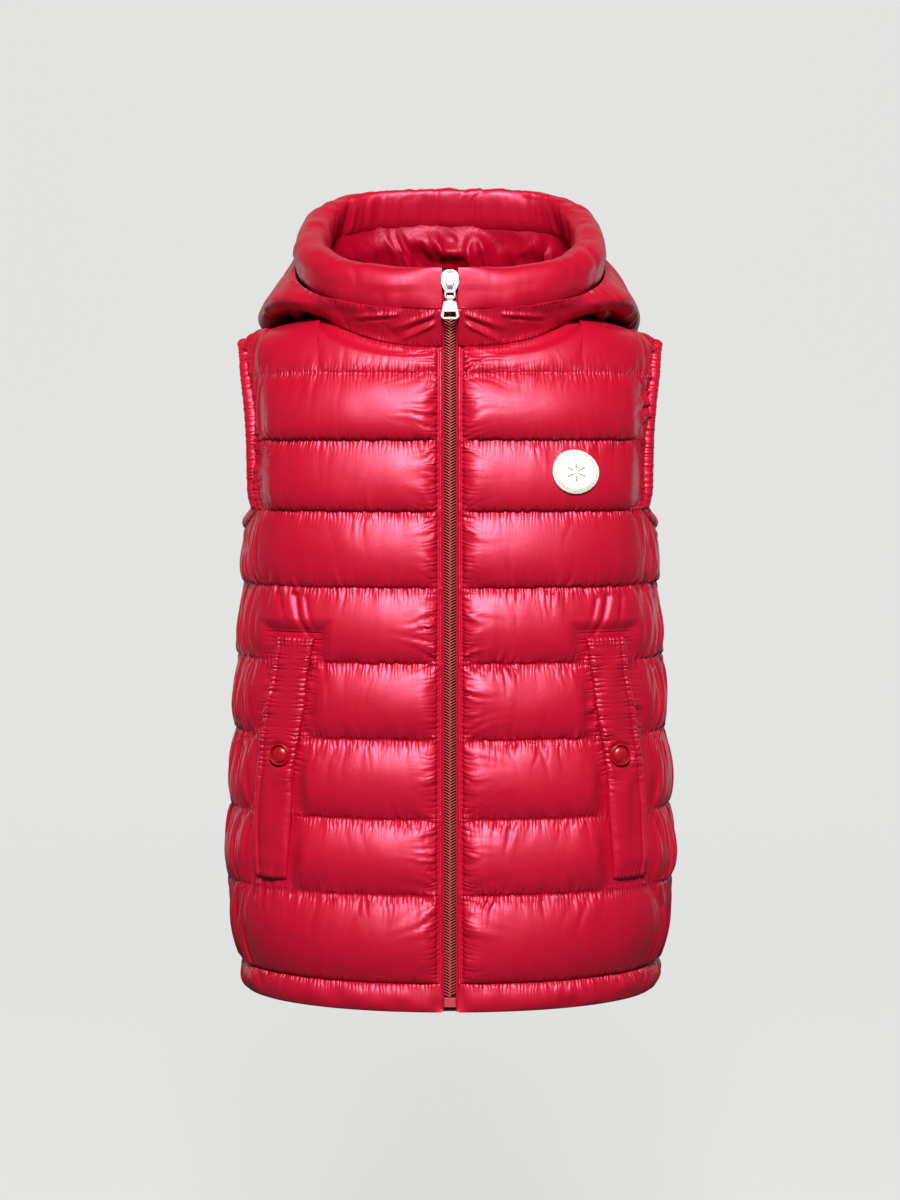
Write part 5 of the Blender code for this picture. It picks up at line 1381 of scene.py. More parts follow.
def hood_folds(point, sign, seed):
    """Folds of the bag: gathers at both seams, long slack folds between them."""
    along, rise = cloth_distances(point)
    along = along * sign
    above = rise[-1:] - rise
    places = {"along_seam": along, "off_seam": np.minimum(rise, above)}
    folds = pleats(along, rise + JUST_OFF, seed, HOOD_PLEATS)
    folds = folds + pleats(along, above + JUST_OFF, seed + 60, HOOD_PLEATS)
    share = rise / np.maximum(rise[-1:], 1e-9)
    lean = along + 0.9 * rise + 0.006 * noise(along / 0.03, rise / 0.03, seed + 2)
    slack = ridged(noise(lean / 0.017, rise / 0.05, seed + 3))
    wide = noise(along / 0.05, rise / 0.04, seed + 4)
    behind = ramp((point[..., 1] + 0.03) / 0.08)
    middle = lift(share)
    slack_height = (SLACK_FRONT + SLACK_BEHIND * behind) * slack * middle
    return folds * (0.55 + 0.45 * behind) + slack_height + 0.0012 * wide * middle, places

def make_hood_side(name, sign, seed):
    split = math.radians(HOOD_STRIP_ANGLE) - SEAM_GAP / 2 / HOOD_STRIP_RADIUS
    first = ZIP_EDGE_X / HOOD[0][1]
    steps = np.linspace(0, 1, HOOD_SIDE_COLUMNS)
    angle, share = np.meshgrid(first + (split - first) * steps, crowded(HOOD_ROWS))
    point, normal = hood_frame(angle, share)
    height, places = hood_folds(point, sign, seed)
    height += creases(point[..., 0], point[..., 2], COLLAR_FOLDS) * (point[..., 1] < 0)
    x = point[..., 0]
    calm = ramp((x - ZIP_STITCH_X) / 0.006) * ramp((split - angle) / 0.03 + 0.1)
    roll = half_round(x - ROLL_X, ROLL_HALF) * ROLL_HEIGHT
    roll = roll * (point[..., 1] < 0) * ramp(share / 0.05) * ramp((1 - share) / 0.05)
    outer = point + normal * (height * calm + roll)[..., None]
    inner = point - normal * WALL
    for sheet in (outer, inner):
        sheet[..., 0] = np.maximum(sheet[..., 0], ZIP_EDGE_X)
        sheet[:, 0, 0] = ZIP_EDGE_X
    if sign < 0:
        outer, inner, places = other_side(outer, inner, places)
    piece = cloth_wall(name, outer, inner, NYLON, HOOD_KEPT)
    store_places(piece, places, HOOD_KEPT)
    return piece

hood_left = make_hood_side("padded_hood_side_left", 1, 111)
hood_right = make_hood_side("padded_hood_side_right", -1, 151)
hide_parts("hood_side_left")
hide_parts("hood_side_right")

def make_hood_centre():
    split = math.radians(HOOD_STRIP_ANGLE) + SEAM_GAP / 2 / HOOD_STRIP_RADIUS
    angle, share = np.meshgrid(np.linspace(split, math.pi, HOOD_CENTRE_COLUMNS), crowded(HOOD_ROWS))
    point, normal = hood_frame(angle, share)
    normal[:, -1, 0] = 0
    normal = unit(normal)
    halves = []
    for sign in (1, -1):
        across = np.cumsum(np.linalg.norm(np.diff(point, axis=1), axis=-1)[:, ::-1], axis=1)[:, ::-1]
        across = np.concatenate([across, np.zeros((HOOD_ROWS, 1))], axis=1) * sign
        _, rise = cloth_distances(point)
        share_up = rise / rise[-1:]
        folds = pleats(across, rise + JUST_OFF, 191) + pleats(across, rise[-1:] - rise + JUST_OFF, 192)
        folds += 0.0016 * ridged(noise(rise / 0.014, across / 0.03, 193), 1.5, 0.4) * lift(share_up)
        calm = ramp((angle - split) / 0.03 + 0.1)
        outer = point + normal * (folds * calm)[..., None]
        inner = point - normal * WALL
        halves.append((outer, inner))
    (outer, inner), (far_outer, far_inner) = halves
    for sheet in (outer, inner, far_outer, far_inner):
        sheet[:, -1, 0] = 0
    whole = joined(outer, far_outer), joined(inner, far_inner)
    return cloth_wall("padded_hood_centre", *whole, NYLON, HOOD_KEPT)

hood_middle = make_hood_centre()
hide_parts("hood_centre")

# %% [markdown]
# ### The padded rim
# The tube is the fattest part of the hood. It is stitched flat where it meets the zip, and its
# cloth is slack, so soft folds run across it and small gathers sit along both of its seams.

# %% Rim tube
BRIM_STEPS = 230
BRIM_AROUND = 56
BRIM_GIRTH = 0.085
BRIM_LEAN = 0.0050  # behind, the top of the tube leans in over the opening
BRIM_ROUNDNESS, BRIM_ROUNDNESS_BEHIND = 2.4, 3.4

def brim_rings():
    """Rings of the rim at +X from the zip to the middle behind, and how full the tube is at each."""
    angle = math.pi * (np.arange(BRIM_STEPS + 1) / BRIM_STEPS) ** 1.15
    radius = brim_radius(angle)
    centre = np.stack([radius * np.sin(angle), -radius * np.cos(angle)], -1)
    centre[0, 0] = ZIP_EDGE_X
    keep = np.concatenate([[True], centre[1:, 0] > ZIP_EDGE_X * 1.02])
    keep[-1] = True
    angle, centre = angle[keep], centre[keep]
    along = np.gradient(centre, axis=0)
    out = unit(np.stack([along[:, 1], -along[:, 0]], -1))
    out[0] = 0, -1
    out[-1] = 0, 1
    full = ramp((centre[:, 0] - BRIM_PINCH_START_X) / BRIM_PINCH_LENGTH)
    full = np.where(angle > math.pi / 2, 1, full)
    thickness = BRIM_END_THICKNESS + (BRIM_THICKNESS - BRIM_END_THICKNESS) * full
    shift = (BRIM_SEAM_OUT - BRIM_END_THICKNESS / 2) * (1 - full)
    top = brim_top_z(centre[:, 1])
    bottom = top - BRIM_HEIGHT + BRIM_SEAM_RISE * (1 - full**2)
    behind = ramp((centre[:, 1] + 0.01) / 0.07)
    power = 2 / (BRIM_ROUNDNESS + (BRIM_ROUNDNESS_BEHIND - BRIM_ROUNDNESS) * behind)
    rings = np.zeros((len(angle), BRIM_AROUND, 3))
    for k in range(BRIM_AROUND):
        turn = 2 * math.pi * (k + 0.5) / BRIM_AROUND
        level = math.copysign(1, math.sin(turn)) * abs(math.sin(turn)) ** power
        beside = math.copysign(1, math.cos(turn)) * abs(math.cos(turn)) ** power
        reach = shift + thickness / 2 * beside - BRIM_LEAN * behind * level
        rings[:, k, :2] = centre + out * reach[:, None]
        rings[:, k, 2] = (top + bottom) / 2 + (top - bottom) / 2 * level
    return rings, full

def ring_normals(rings):
    """Outward normals of a tube's points."""
    along = np.gradient(rings, axis=0)
    around = np.roll(rings, -1, 1) - np.roll(rings, 1, 1)
    normal = unit(np.cross(along, around))
    outwards = (normal * (rings - rings.mean(axis=1, keepdims=True))).sum(-1, keepdims=True)
    return normal * np.sign(outwards.sum())

def brim_places(rings):
    """Run along the tube from the middle behind, turn round it, and distance from its seam."""
    centre = rings.mean(axis=1)
    run = lengths_along(centre)
    run = (run - run[-1])[:, None]
    turn = 2 * math.pi * (np.arange(BRIM_AROUND)[None] + 0.5) / BRIM_AROUND
    off_turn = np.abs((turn - 1.5 * math.pi + math.pi) % (2 * math.pi) - math.pi)
    return run, turn, BRIM_GIRTH * off_turn / (2 * math.pi)

def brim_folds(rings, full, sign, seed):
    """Gathers at the seam, soft folds across the tube, and small ones on its top and inside."""
    centre = rings.mean(axis=1)
    run, turn, from_seam = brim_places(rings)
    run = run * sign
    folds = pleats(run, from_seam + JUST_OFF, seed)
    behind = ramp((centre[:, 1:2] + 0.02) / 0.06)
    top = hump(turn - 0.5 * math.pi, 0.55)
    inside = hump(turn - math.pi, 0.8)
    lean = run + 0.004 * noise(run / 0.02, turn, seed + 2)
    wide = ridged(noise(lean / 0.016, turn * 0.55, seed + 3))
    small = ridged(noise(lean / 0.0046, turn * 0.9, seed + 4))
    swell = 0.0006 * noise(run / 0.05, turn * 0.8, seed + 5)
    folds = folds + 0.0016 * wide * (0.55 + 0.45 * inside) + swell
    folds = folds + small * (0.0009 * behind * top + 0.0006 * inside * behind)
    return folds * (0.15 + 0.85 * full[:, None])

def make_brim():
    rings, full = brim_rings()
    normal = ring_normals(rings)
    halves = []
    for sign in (1, -1):
        folds = brim_folds(rings, full, sign, 211)
        folds[0] = 0
        half = rings + normal * folds[..., None]
        half[0, :, 0] = ZIP_EDGE_X
        half[-1, :, 0] = 0
        halves.append(half)
    whole = np.concatenate([halves[0], (halves[1][:-1] * (-1, 1, 1))[::-1]])
    piece = tube("padded_hood_rim", whole, NYLON, closed=False)
    run, _, from_seam = brim_places(rings)
    run, from_seam = np.broadcast_arrays(run, from_seam)
    places = {"along_seam": (run, -run), "off_seam": (from_seam, from_seam)}
    store_values(piece, {name: np.concatenate([a, b[:-1][::-1]]) for name, (a, b) in places.items()})
    return piece

hood_rim = make_brim()
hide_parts("hood_brim")

# %% [markdown]
# ### The lining
# The lining is thin, slack and shiny. It has no padding of its own, so it falls in deep crumpled
# folds inside the hood. Its folds are ridged noise at three sizes, and all of them stand inwards,
# because the padded bag lies close behind.

# %% Hood lining
LINING_ROWS = 64
LINING_COLUMNS = 150
CURTAIN_DEPTH = 0.040
CURTAIN_OUT = 0.012
CRUMPLE_DEPTH = 0.0054
FRONT_CRUMPLE_SHARE = 0.22  # beside the neck the bag is narrow, so its lining lies flatter
CURTAIN_SHARE = 0.34  # share of the lining that hangs below the rim before it runs back

def lining_sheet():
    """The slack lining at +X without its crumples: along the bag in front, a curtain behind."""
    angle, share = np.meshgrid(np.linspace(0, math.pi, LINING_COLUMNS), np.linspace(0, 1, LINING_ROWS))
    point, normal = hood_frame(angle, share)
    sheet = point - normal * LINING_BEHIND
    behind = ramp((-brim_radius(angle) * np.cos(angle) + 0.01) / 0.07)
    radius = brim_radius(angle) - LINING_SEAM_IN + 0.8 * BRIM_LEAN * behind
    rim_z = brim_top_z(-brim_radius(angle) * np.cos(angle)) - BRIM_SEAM_BELOW_TOP - LINING_SEAM_DROP
    rim = np.stack([radius * np.sin(angle), -radius * np.cos(angle), rim_z], -1)
    blend = ramp((share - 0.5) / 0.5)[..., None]
    sheet = sheet * (1 - blend) + rim * blend
    hang = np.clip((1 - share) / CURTAIN_SHARE, 0, 1)
    out = np.stack([np.sin(angle), -np.cos(angle), angle * 0], -1)
    curtain = rim + out * (CURTAIN_OUT * hang**2)[..., None] - hang[..., None] * (0, 0, CURTAIN_DEPTH)
    slack = ramp((share - 0.46) / 0.24) * ramp((np.degrees(angle) - 55) / 40)
    sheet = sheet * (1 - slack[..., None]) + curtain * slack[..., None]
    sheet[-1] = rim[-1]
    normal = unit(np.cross(np.gradient(sheet, axis=1), np.gradient(sheet, axis=0)))
    normal[:, -1, 0] = 0
    sheet[:, -1, 0] = 0
    return sheet, unit(normal), share

def crumple(sheet, sign, seed):
    """Thin ridges at three sizes that cross each other, with flat cloth between them."""
    x, y, z = sheet[..., 0] * sign, sheet[..., 1], sheet[..., 2]
    u = x + 0.35 * z + 0.01 * noise(x / 0.03, (y + z) / 0.03, seed)
    v = y + z - 0.3 * x + 0.01 * noise(x / 0.025, (y - z) / 0.025, seed + 1)
    waves = (
        (1.0, u / 0.019, v / 0.052),
        (0.7, (u + 0.8 * v) / 0.017, (v - 0.5 * u) / 0.046),
        (0.3, u / 0.008, v / 0.015),
    )
    total = 0.2
    for k, (share, a, b) in enumerate(waves):
        total = total + share * (1 - 1.9 * np.abs(noise(a, b, seed + 2 + k)))
    return np.clip(total, 0, None)

def make_lining():
    sheet, normal, share = lining_sheet()
    degrees = np.linspace(0, 180, LINING_COLUMNS)[None]
    room = FRONT_CRUMPLE_SHARE + (1 - FRONT_CRUMPLE_SHARE) * ramp((degrees - 88) / 27)
    halves = []
    for sign in (1, -1):
        deep = crumple(sheet, sign, 241) * CRUMPLE_DEPTH * room
        deep = deep * ramp(share / 0.12) * ramp((1 - share) / 0.16)
        outer = sheet - normal * deep[..., None]
        inner = outer - normal * LINING_THICKNESS
        for grid in (outer, inner):
            grid[..., 0] = np.maximum(grid[..., 0], 0)
            grid[:, 0, 0] = ZIP_EDGE_X
        halves.append((outer, inner))
    (outer, inner), (far_outer, far_inner) = halves
    whole = joined(outer, far_outer), joined(inner, far_inner)
    return cloth_wall("crumpled_hood_lining", *whole, LINING)

hood_lining = make_lining()
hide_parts("hood_lining")

# %% [markdown]
# ## Pocket welts, snaps and patch
# A welt is a folded strip of shell cloth, sewn along its inner edge and ends. Its outer edge is a
# soft rolled fold where the hand goes in. A snap closes each one. The chest patch is plain felt
# with a ring of stitches and a small snowflake.

# %% Welts
WELT_UNDER = 0.0038
WELT_THICKNESS = 0.0026
WELT_ROWS = 210
WELT_STRIPS = 34
WELT_STITCH_IN, WELT_TOPSTITCH_IN = 0.0016, 0.0031  # from the sewn edge, from the open edge
WELT_ROLL, WELT_ROLL_IN, WELT_ROLL_HALF = 0.0010, 0.0011, 0.0012
WELT_PILLOW = 0.0014
WELT_SINK, WELT_SINK_LENGTH = 0.0018, 0.014  # the lower end lies down into the seam below it
SEWN_EDGE_PLEATS = ((0.0030, 0.20, 0.0030), (0.0056, 0.20, 0.0060))
OPEN_EDGE_PLEATS = ((0.0030, 0.20, 0.0030), (0.0060, 0.20, 0.0065))
SNAP_X = 0.1101
SNAP_HEIGHT = 0.1684
SNAP_RADIUS = 0.0070
WELT_LINES = []  # paths for its stitches, with their normals

def front_point(x, z):
    """Bare point and outward normal of the left front."""
    x, z = np.broadcast_arrays(np.asarray(x, float), np.asarray(z, float))

    def at(u, v):
        return np.stack([u, -body_depth(-1, u, v), v], -1)

    small = 5e-4
    along = at(x + small, z) - at(x - small, z)
    up = at(x, z + small) - at(x, z - small)
    return at(x, z), unit(np.cross(along, up))

def welt_height(x, heights, from_front, from_back, gathered, seed):
    """How far its outside stands off the body: folds, rolled edge, stitches and pressed snap."""
    up = heights + 0 * x
    folds = pleats(up + 0.25 * from_front, from_front + JUST_OFF, seed + 1, SEWN_EDGE_PLEATS)
    folds += pleats(up - 0.3 * from_back, from_back - 0.002, seed + 2, OPEN_EDGE_PLEATS)
    folds *= 0.25 + 0.75 * gathered
    folds += 0.0007 * noise(up / 0.02, x / 0.008, seed + 3)
    folds += WELT_PILLOW * lift(np.clip(crowded(WELT_STRIPS)[None], 0, 1))
    roll = WELT_ROLL * (1 + 0.35 * gathered * noise(up / 0.0024, 0, seed + 4))
    roll = roll * half_round(from_back - WELT_ROLL_IN, WELT_ROLL_HALF)
    ditch = 0.0005 * hump(from_back - WELT_TOPSTITCH_IN, 0.0006)
    ditch = ditch + 0.0004 * hump(from_front - WELT_STITCH_IN, 0.0005)
    ends = np.minimum(heights - WELT[0][0], WELT[-1][0] - heights)
    edge = 0.0012 * (1 - ramp(from_front / 0.0014)) + 0.0010 * (1 - ramp(ends / 0.0018))
    snap = np.hypot(x - SNAP_X, heights - SNAP_HEIGHT)
    flat = ramp((snap - SNAP_RADIUS * 0.9) / 0.004)
    pressed = 0.0003 * (1 - flat)
    return WELT_UNDER + WELT_THICKNESS - edge + (folds + roll - ditch) * flat - pressed

def make_welt(name, sign, seed):
    heights = np.linspace(WELT[0][0], WELT[-1][0], WELT_ROWS)[:, None]
    front = read_table(WELT, WELT_COLUMNS, "front_edge_x", heights)
    back = read_table(WELT, WELT_COLUMNS, "side_edge_x", heights)
    steps = crowded(WELT_STRIPS)[None]
    gathered = welt_gathered(heights)
    scallop = 0.00035 * noise(heights / 0.0030, 0, seed) * gathered
    x = front + scallop + (back - front - scallop) * steps
    point, normal = front_point(x, HEM_Z + heights + x * 0)
    from_front, from_back = x - front, back - x
    above = welt_height(x, heights, from_front, from_back, gathered, seed)
    sunk = WELT_SINK * (1 - ramp((heights - WELT[0][0]) / WELT_SINK_LENGTH))[..., None]
    outer = point + normal * (above[..., None] - sunk)
    inner = point + normal * (WELT_UNDER - sunk)
    off_front, off_back = np.abs(from_front - WELT_STITCH_IN), np.abs(from_back - WELT_TOPSTITCH_IN)
    off_edge = np.minimum(off_front, off_back) + 0.02 * (1 - gathered)
    ends = np.minimum(heights - WELT[0][0], WELT[-1][0] - heights)
    off_seam = np.abs(ends + 0 * x - 0.0022)
    up = heights + 0 * x
    places = {"along_seam": x, "off_seam": off_seam, "along_edge": up, "off_edge": off_edge}
    first = int(np.argmax(gathered > 0.3))
    for off in (off_front, off_back):
        column = int(np.argmin(off[0]))
        path, ways = outer[first:-2, column], normal[first:-2, column]
        WELT_LINES.append((path * (sign, 1, 1), ways * (sign, 1, 1)))
    for row in (3, -4):
        WELT_LINES.append((outer[row] * (sign, 1, 1), normal[row] * (sign, 1, 1)))
    if sign < 0:
        outer, inner, places = other_side(outer, inner, places)
    kept = [*range(0, WELT_ROWS - 1, 21), WELT_ROWS - 1]
    piece = cloth_wall(name, outer, inner, NYLON, kept)
    store_places(piece, places, kept)
    return piece

welt_left = make_welt("pocket_welt_flap_left", 1, 261)
welt_right = make_welt("pocket_welt_flap_right", -1, 281)
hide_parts("pocket_welt_left")
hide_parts("pocket_welt_right")

# %% Snap caps
SNAP_RISE = 0.0032
# rise and radius, as shares of the cap's own
SNAP_TURNING = (
    (0.00, 1.00), (0.15, 1.05), (0.62, 1.06), (0.90, 1.02), (0.98, 0.96), (0.88, 0.90), (0.45, 0.86),
    (0.28, 0.82), (0.32, 0.77), (0.58, 0.70), (0.78, 0.56), (0.90, 0.38), (0.96, 0.20), (0.97, 0.05),
)
SNAP_SPOKES = 72
SNAP_TURN = 0.9  # the slack strip lets the snap face forwards

def make_snap(name, sign):
    point, normal = front_point(SNAP_X, HEM_Z + SNAP_HEIGHT)
    base = point + normal * (WELT_UNDER + WELT_THICKNESS)
    normal = unit(normal + SNAP_TURN * np.array((0, -1.0, 0)))
    side = unit(np.cross(normal, (0, 0, 1.0)))
    up = np.cross(side, normal)
    turn = np.linspace(0, 2 * math.pi, SNAP_SPOKES, endpoint=False)[:, None]
    rings = []
    for rise, radius in SNAP_TURNING:
        spoke = (side * np.cos(turn) + up * np.sin(turn)) * SNAP_RADIUS * radius
        rings.append(base + spoke + normal * SNAP_RISE * rise)
    rings = np.array(rings) * (sign, 1, 1)
    return tube(name, rings, LACQUER, closed=False, sharp=50)

snap_left = make_snap("snap_dome_left", 1)
snap_right = make_snap("snap_dome_right", -1)
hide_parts("snap_cap_left")
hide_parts("snap_cap_right")

# %% Chest patch
# shares of the radius and the thickness, from the middle over the edge and back underneath
PATCH_TURNING = (
    (0.03, 1.00), (0.20, 1.00), (0.40, 1.00), (0.60, 1.02), (0.75, 1.05), (0.86, 1.06), (0.93, 1.00),
    (0.97, 0.86), (0.99, 0.68), (1.00, 0.42), (1.00, 0.15), (0.99, 0.00), (0.90, 0.00), (0.50, 0.00),
    (0.05, 0.00),
)
PATCH_X = 0.0807
PATCH_HEIGHT = 0.3581
PATCH_RADIUS = 0.0148
PATCH_THICKNESS = 0.0016
PATCH_SPOKES = 96

def patch_surface(x, height):
    """Point and normal of the padded cloth under the patch."""
    k = int(np.searchsorted(QUILT_HEIGHTS, PATCH_HEIGHT) - 1)
    low, high = QUILT_HEIGHTS[k], QUILT_HEIGHTS[k + 1]
    point, normal = front_point(x, HEM_Z + height)
    raised = puff(-1, x, HEM_Z + height, k, (height - low) / (high - low))
    return point + normal * (raised + 2 * SEAM_GAP)[..., None], normal

def make_patch():
    turn = np.linspace(0, 2 * math.pi, PATCH_SPOKES, endpoint=False)[None]
    shares, rise = (np.array(column)[:, None] for column in zip(*PATCH_TURNING))
    radius = PATCH_RADIUS * shares * (1 + 0.006 * noise(turn * 9, shares, 5))
    x = PATCH_X + radius * np.cos(turn)
    height = PATCH_HEIGHT + radius * np.sin(turn)
    under, normal = patch_surface(x, height)
    rings = under + normal * (PATCH_THICKNESS * rise)[..., None]
    return tube("felt_patch", rings, FELT, closed=False)

felt_patch = make_patch()
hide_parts("chest_patch")

# %% [markdown]
# ## Stitches
# A stitch is a short piece of thread that dips into the cloth at both ends. A line of them is
# one mesh: a five-sided bead for each stitch, laid along the seam's path.

# %% Stitch rows
STITCH_SIDES = 5
STITCH_PROFILE = ((-0.5, 0.35, -0.7), (0.0, 1.0, 0.35), (0.5, 0.35, -0.7))

def stitch_row(paths, length, gap, radius):
    """Points and faces of the stitches along each path of (points, normals)."""
    points, faces = [], []
    turns = 2 * math.pi * np.arange(STITCH_SIDES) / STITCH_SIDES
    for path, normals in paths:
        run = lengths_along(path)
        count = int(run[-1] / (length + gap))
        for at in (np.arange(count) + 0.5) * (length + gap):
            middle = point_at(path, run, at)
            along = unit(point_at(path, run, at + length / 2) - point_at(path, run, at - length / 2))
            normal = unit(point_at(normals, run, at))
            across = unit(np.cross(along, normal))
            faces += tube_faces(len(STITCH_PROFILE), STITCH_SIDES, False, len(points))
            for share, thick, drop in STITCH_PROFILE:
                centre = middle + along * share * length + normal * radius * drop
                for turn in turns:
                    spoke = across * math.cos(turn) + normal * math.sin(turn)
                    points.append(centre + spoke * radius * thick)
    return points, faces

def make_stitches(name, paths, length, gap, radius, finish):
    points, faces = stitch_row(paths, length, gap, radius)
    return cloth_object(name, points, faces, finish)

# %% Quilting and zip stitches
def without_gaps(paths):
    """Leaves out the points of a path that lie on columns which end below it."""
    kept = []
    for points, ways in paths:
        real = np.linalg.norm(ways, axis=1) > 0.5
        kept.append((points[real], ways[real]))
    return kept

# length, gap and radius
QUILT_STITCH = (0.0024, 0.0006, 0.00024)
ZIP_STITCH = (0.0024, 0.0007, 0.00022)
WELT_STITCH = (0.0024, 0.0007, 0.00026)
quilt_stitches = make_stitches("quilting_stitches", without_gaps(QUILT_LINES), *QUILT_STITCH, THREAD)
zip_stitches = make_stitches("zip_edge_stitches", without_gaps(ZIP_LINES), *ZIP_STITCH, THREAD)
welt_stitches = make_stitches("pocket_welt_stitches", WELT_LINES, *WELT_STITCH, THREAD)

# %% Patch stitching
def patch_ring(radius, count=160):
    turn = np.linspace(0, 2 * math.pi, count)
    point, normal = patch_surface(PATCH_X + radius * np.cos(turn), PATCH_HEIGHT + radius * np.sin(turn))
    return point + normal * PATCH_THICKNESS * 1.06, normal

def flake_lines():
    """Six arms with two pairs of barbs each."""
    rows = []
    for arm in range(6):
        turn = math.pi / 6 + arm * math.pi / 3
        tip = np.array([math.cos(turn), math.sin(turn)])
        rows.append((tip * 0.0008, tip * 0.0066))
        for out in (0.0032, 0.0049):
            for bend in (-1, 1):
                barb = turn + bend * math.pi / 4.2
                start = tip * out
                rows.append((start, start + 0.0016 * np.array([math.cos(barb), math.sin(barb)])))
    return rows

def patch_path(start, end):
    share = np.linspace(0, 1, 8)[:, None]
    flat = start + (end - start) * share
    point, normal = patch_surface(PATCH_X + flat[:, 0], PATCH_HEIGHT + flat[:, 1])
    return point + normal * PATCH_THICKNESS * 1.03, normal

patch_outline_stitches = make_stitches(
    "patch_ring_stitches", [patch_ring(0.0129), patch_ring(0.0119)], 0.0011, 0.0001, 0.00022, INK
)
patch_flake_stitches = make_stitches(
    "patch_snowflake_stitches", [patch_path(a, b) for a, b in flake_lines()], 0.0009, 0.0, 0.00024, INK
)

# %% [markdown]
# ## Zip
# Moulded teeth lock in pairs down the middle. Each leans down towards the centre, so the closed
# chain reads as a column of chevrons. They stand on a core between two woven tapes; the core's
# near-black colour is painted shade in the gaps between the teeth. Every tooth is a small bevelled
# block, and all are joined in one mesh because they never open here. On either side of them the
# folded edge of the tape shows as a thin bright cord.

# %% Zip line
CHAIN_BEHIND = 0.0026
CHAIN_TOP_Z = 0.0052
ZIP_BOX_TOP_Z = -0.4606
TOOTH_PITCH = 0.00192
TOOTH_OUT_X = 0.0037
TOOTH_SLOPE = 0.52
TOOTH_HALF_HEIGHT = 0.00042
TOOTH_TIP_X, TOOTH_NOSE, TOOTH_DROP = -0.0002, 0.0002, 0.0011
# x of the outline and its half height there, as a share of the tooth's
TOOTH_FORM = ((TOOTH_OUT_X, 0.75), (0.0016, 0.62), (0.0006, 1.0), (TOOTH_TIP_X, 0.75))
TOOTH_LAYERS = ((0.0, 1.0), (-0.0008, 1.0), (-0.00115, 0.80))  # depth and size, bevelled in front
CORE_X = 0.0046  # half width of the core, near black as painted shade, which laps over both tapes

def front_line():
    """Heights and y of the front's edge beside the zip, from the hem to the hood's rim."""
    body_z = np.linspace(HEM_Z, NECK_FRONT_Z, 60)
    body_y = -body_depth(-1, ZIP_EDGE_X, body_z)
    hood = hood_surface(np.zeros(20), np.linspace(0, 1, 20))
    heights = np.concatenate([body_z, hood[1:, 2]])
    return heights, np.concatenate([body_y, hood[1:, 1]])

LINE_Z, LINE_Y = front_line()

def tooth_outline(sign):
    """Front outline of one tooth as (x, z) about its inner tip, thin outside and round at its head."""
    rows = [(x, TOOTH_SLOPE * (x - TOOTH_TIP_X), TOOTH_HALF_HEIGHT * share) for x, share in TOOTH_FORM]
    outline = [(x, middle + half) for x, middle, half in rows] + [(TOOTH_TIP_X - TOOTH_NOSE, 0)]
    outline += [(x, middle - half) for x, middle, half in reversed(rows)]
    return [(sign * x, z - TOOTH_DROP) for x, z in outline]

def make_teeth():
    points, faces = [], []
    count = int((CHAIN_TOP_Z - ZIP_BOX_TOP_Z - 0.002) / TOOTH_PITCH)
    for n in range(2 * count):
        outline = tooth_outline(1 if n % 2 else -1)
        z0 = ZIP_BOX_TOP_Z + 0.0018 + n * TOOTH_PITCH / 2
        y0 = np.interp(z0, LINE_Z, LINE_Y) + CHAIN_BEHIND
        middle_x = sum(x for x, _ in outline) / len(outline)
        middle_z = sum(z for _, z in outline) / len(outline)
        faces += tube_faces(len(TOOTH_LAYERS), len(outline), False, len(points))
        for depth, scale in TOOTH_LAYERS:
            for x, z in outline:
                across, up = middle_x + (x - middle_x) * scale, middle_z + (z - middle_z) * scale
                points.append((across, y0 + depth, z0 + up))
    return cloth_object("zip_teeth_row", points, faces, TEETH, sharp=40)

zip_teeth_row = make_teeth()
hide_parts("zip_chain")

# The core's near-black colour is painted shade in the gaps between the teeth.
def make_core():
    z = np.linspace(HEM_Z + 0.0004, CHAIN_TOP_Z - 0.0006, 60)
    y = np.interp(z, LINE_Z, LINE_Y) + CHAIN_BEHIND
    rings = np.zeros((len(z), 4, 3))
    corners = ((-CORE_X, 0.0001), (CORE_X, 0.0001), (CORE_X, 0.0009), (-CORE_X, 0.0009))
    for k, (x, depth) in enumerate(corners):
        rings[:, k] = np.stack([z * 0 + x, y + depth, z], -1)
    return tube("zip_core", rings, PAINTED_SHADE_CORE, closed=False)

zip_core = make_core()
CORD_X, CORD_HALF, CORD_DEEP = 0.0046, 0.0008, 0.0013

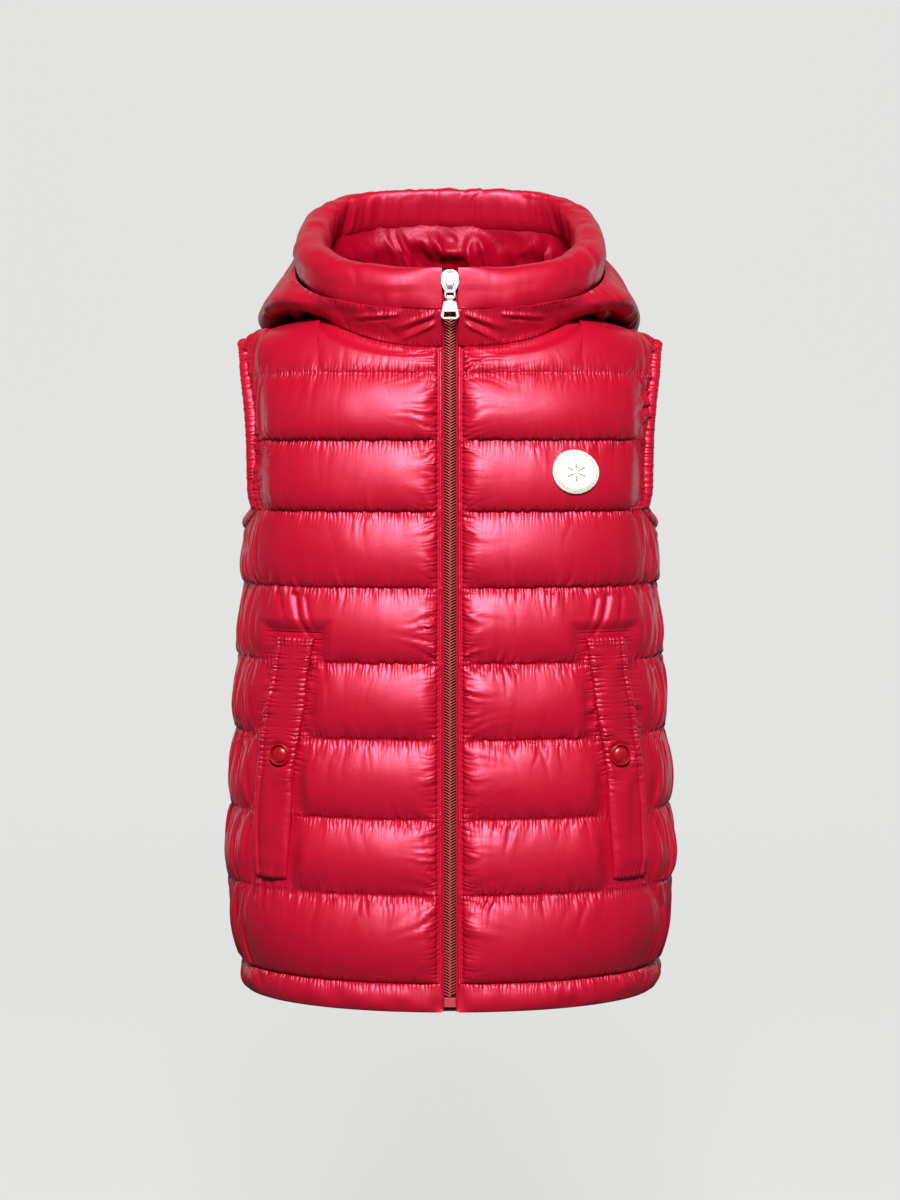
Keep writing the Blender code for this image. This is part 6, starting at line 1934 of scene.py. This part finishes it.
def make_cord(name, sign):
    """The folded edge of the tape that shows as a thin bright line beside the teeth."""
    z = np.linspace(HEM_Z + 0.0006, CHAIN_TOP_Z + 0.0010, 90)
    y = np.interp(z, LINE_Z, LINE_Y) + CORD_BEHIND
    turn = 2 * math.pi * (np.arange(8) + 0.5) / 8
    rings = np.zeros((len(z), 8, 3))
    rings[..., 0] = sign * (CORD_X + CORD_HALF * np.cos(turn))
    rings[..., 1] = y[:, None] + CORD_DEEP * np.sin(turn)
    rings[..., 2] = z[:, None]
    return tube(name, rings, THREAD, closed=False)

CORD_BEHIND = 0.0014
zip_cord_left, zip_cord_right = make_cord("zip_cord_left", 1), make_cord("zip_cord_right", -1)

# %% [markdown]
# ## Tapes, box, slider and pull
# These are flat or hard, and the frame has them at their real size and form. So only their finish
# changes: woven tape, moulded plastic and polished nickel.

# %% Finishes for pieces that keep their shape
KEPT_SHAPES = {
    "zip_tape_left": TAPE, "zip_tape_right": TAPE, "zip_box": MOULDED,
    "zip_slider": METAL, "pull_link": METAL, "pull_tab": METAL,
}
for node, finish in KEPT_SHAPES.items():
    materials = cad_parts[node].data.materials
    materials.clear()
    materials.append(finish)

# %% [markdown]
# ## Handing the pieces over
# Every piece rides on the vest's body.

# %% Every piece rides on the vest
VEST_PIECES = {
    quilted_front_left: "shell",
    quilted_front_right: "shell",
    quilted_back: "shell",
    gathered_hem_band: "shell",
    band_left: "shell",
    band_right: "shell",
    hood_left: "shell",
    hood_right: "shell",
    hood_middle: "shell",
    hood_rim: "shell",
    hood_lining: "lining",
    welt_left: "shell",
    welt_right: "shell",
    snap_left: "snap",
    snap_right: "snap",
    felt_patch: "patch",
    patch_outline_stitches: "patch",
    patch_flake_stitches: "patch",
    quilt_stitches: "shell",
    zip_stitches: "shell",
    welt_stitches: "shell",
    zip_teeth_row: "zip_teeth",
    zip_core: "zip_tape",
    zip_cord_left: "zip_tape",
    zip_cord_right: "zip_tape",
}
for piece, slot in VEST_PIECES.items():
    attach(piece, "vest")
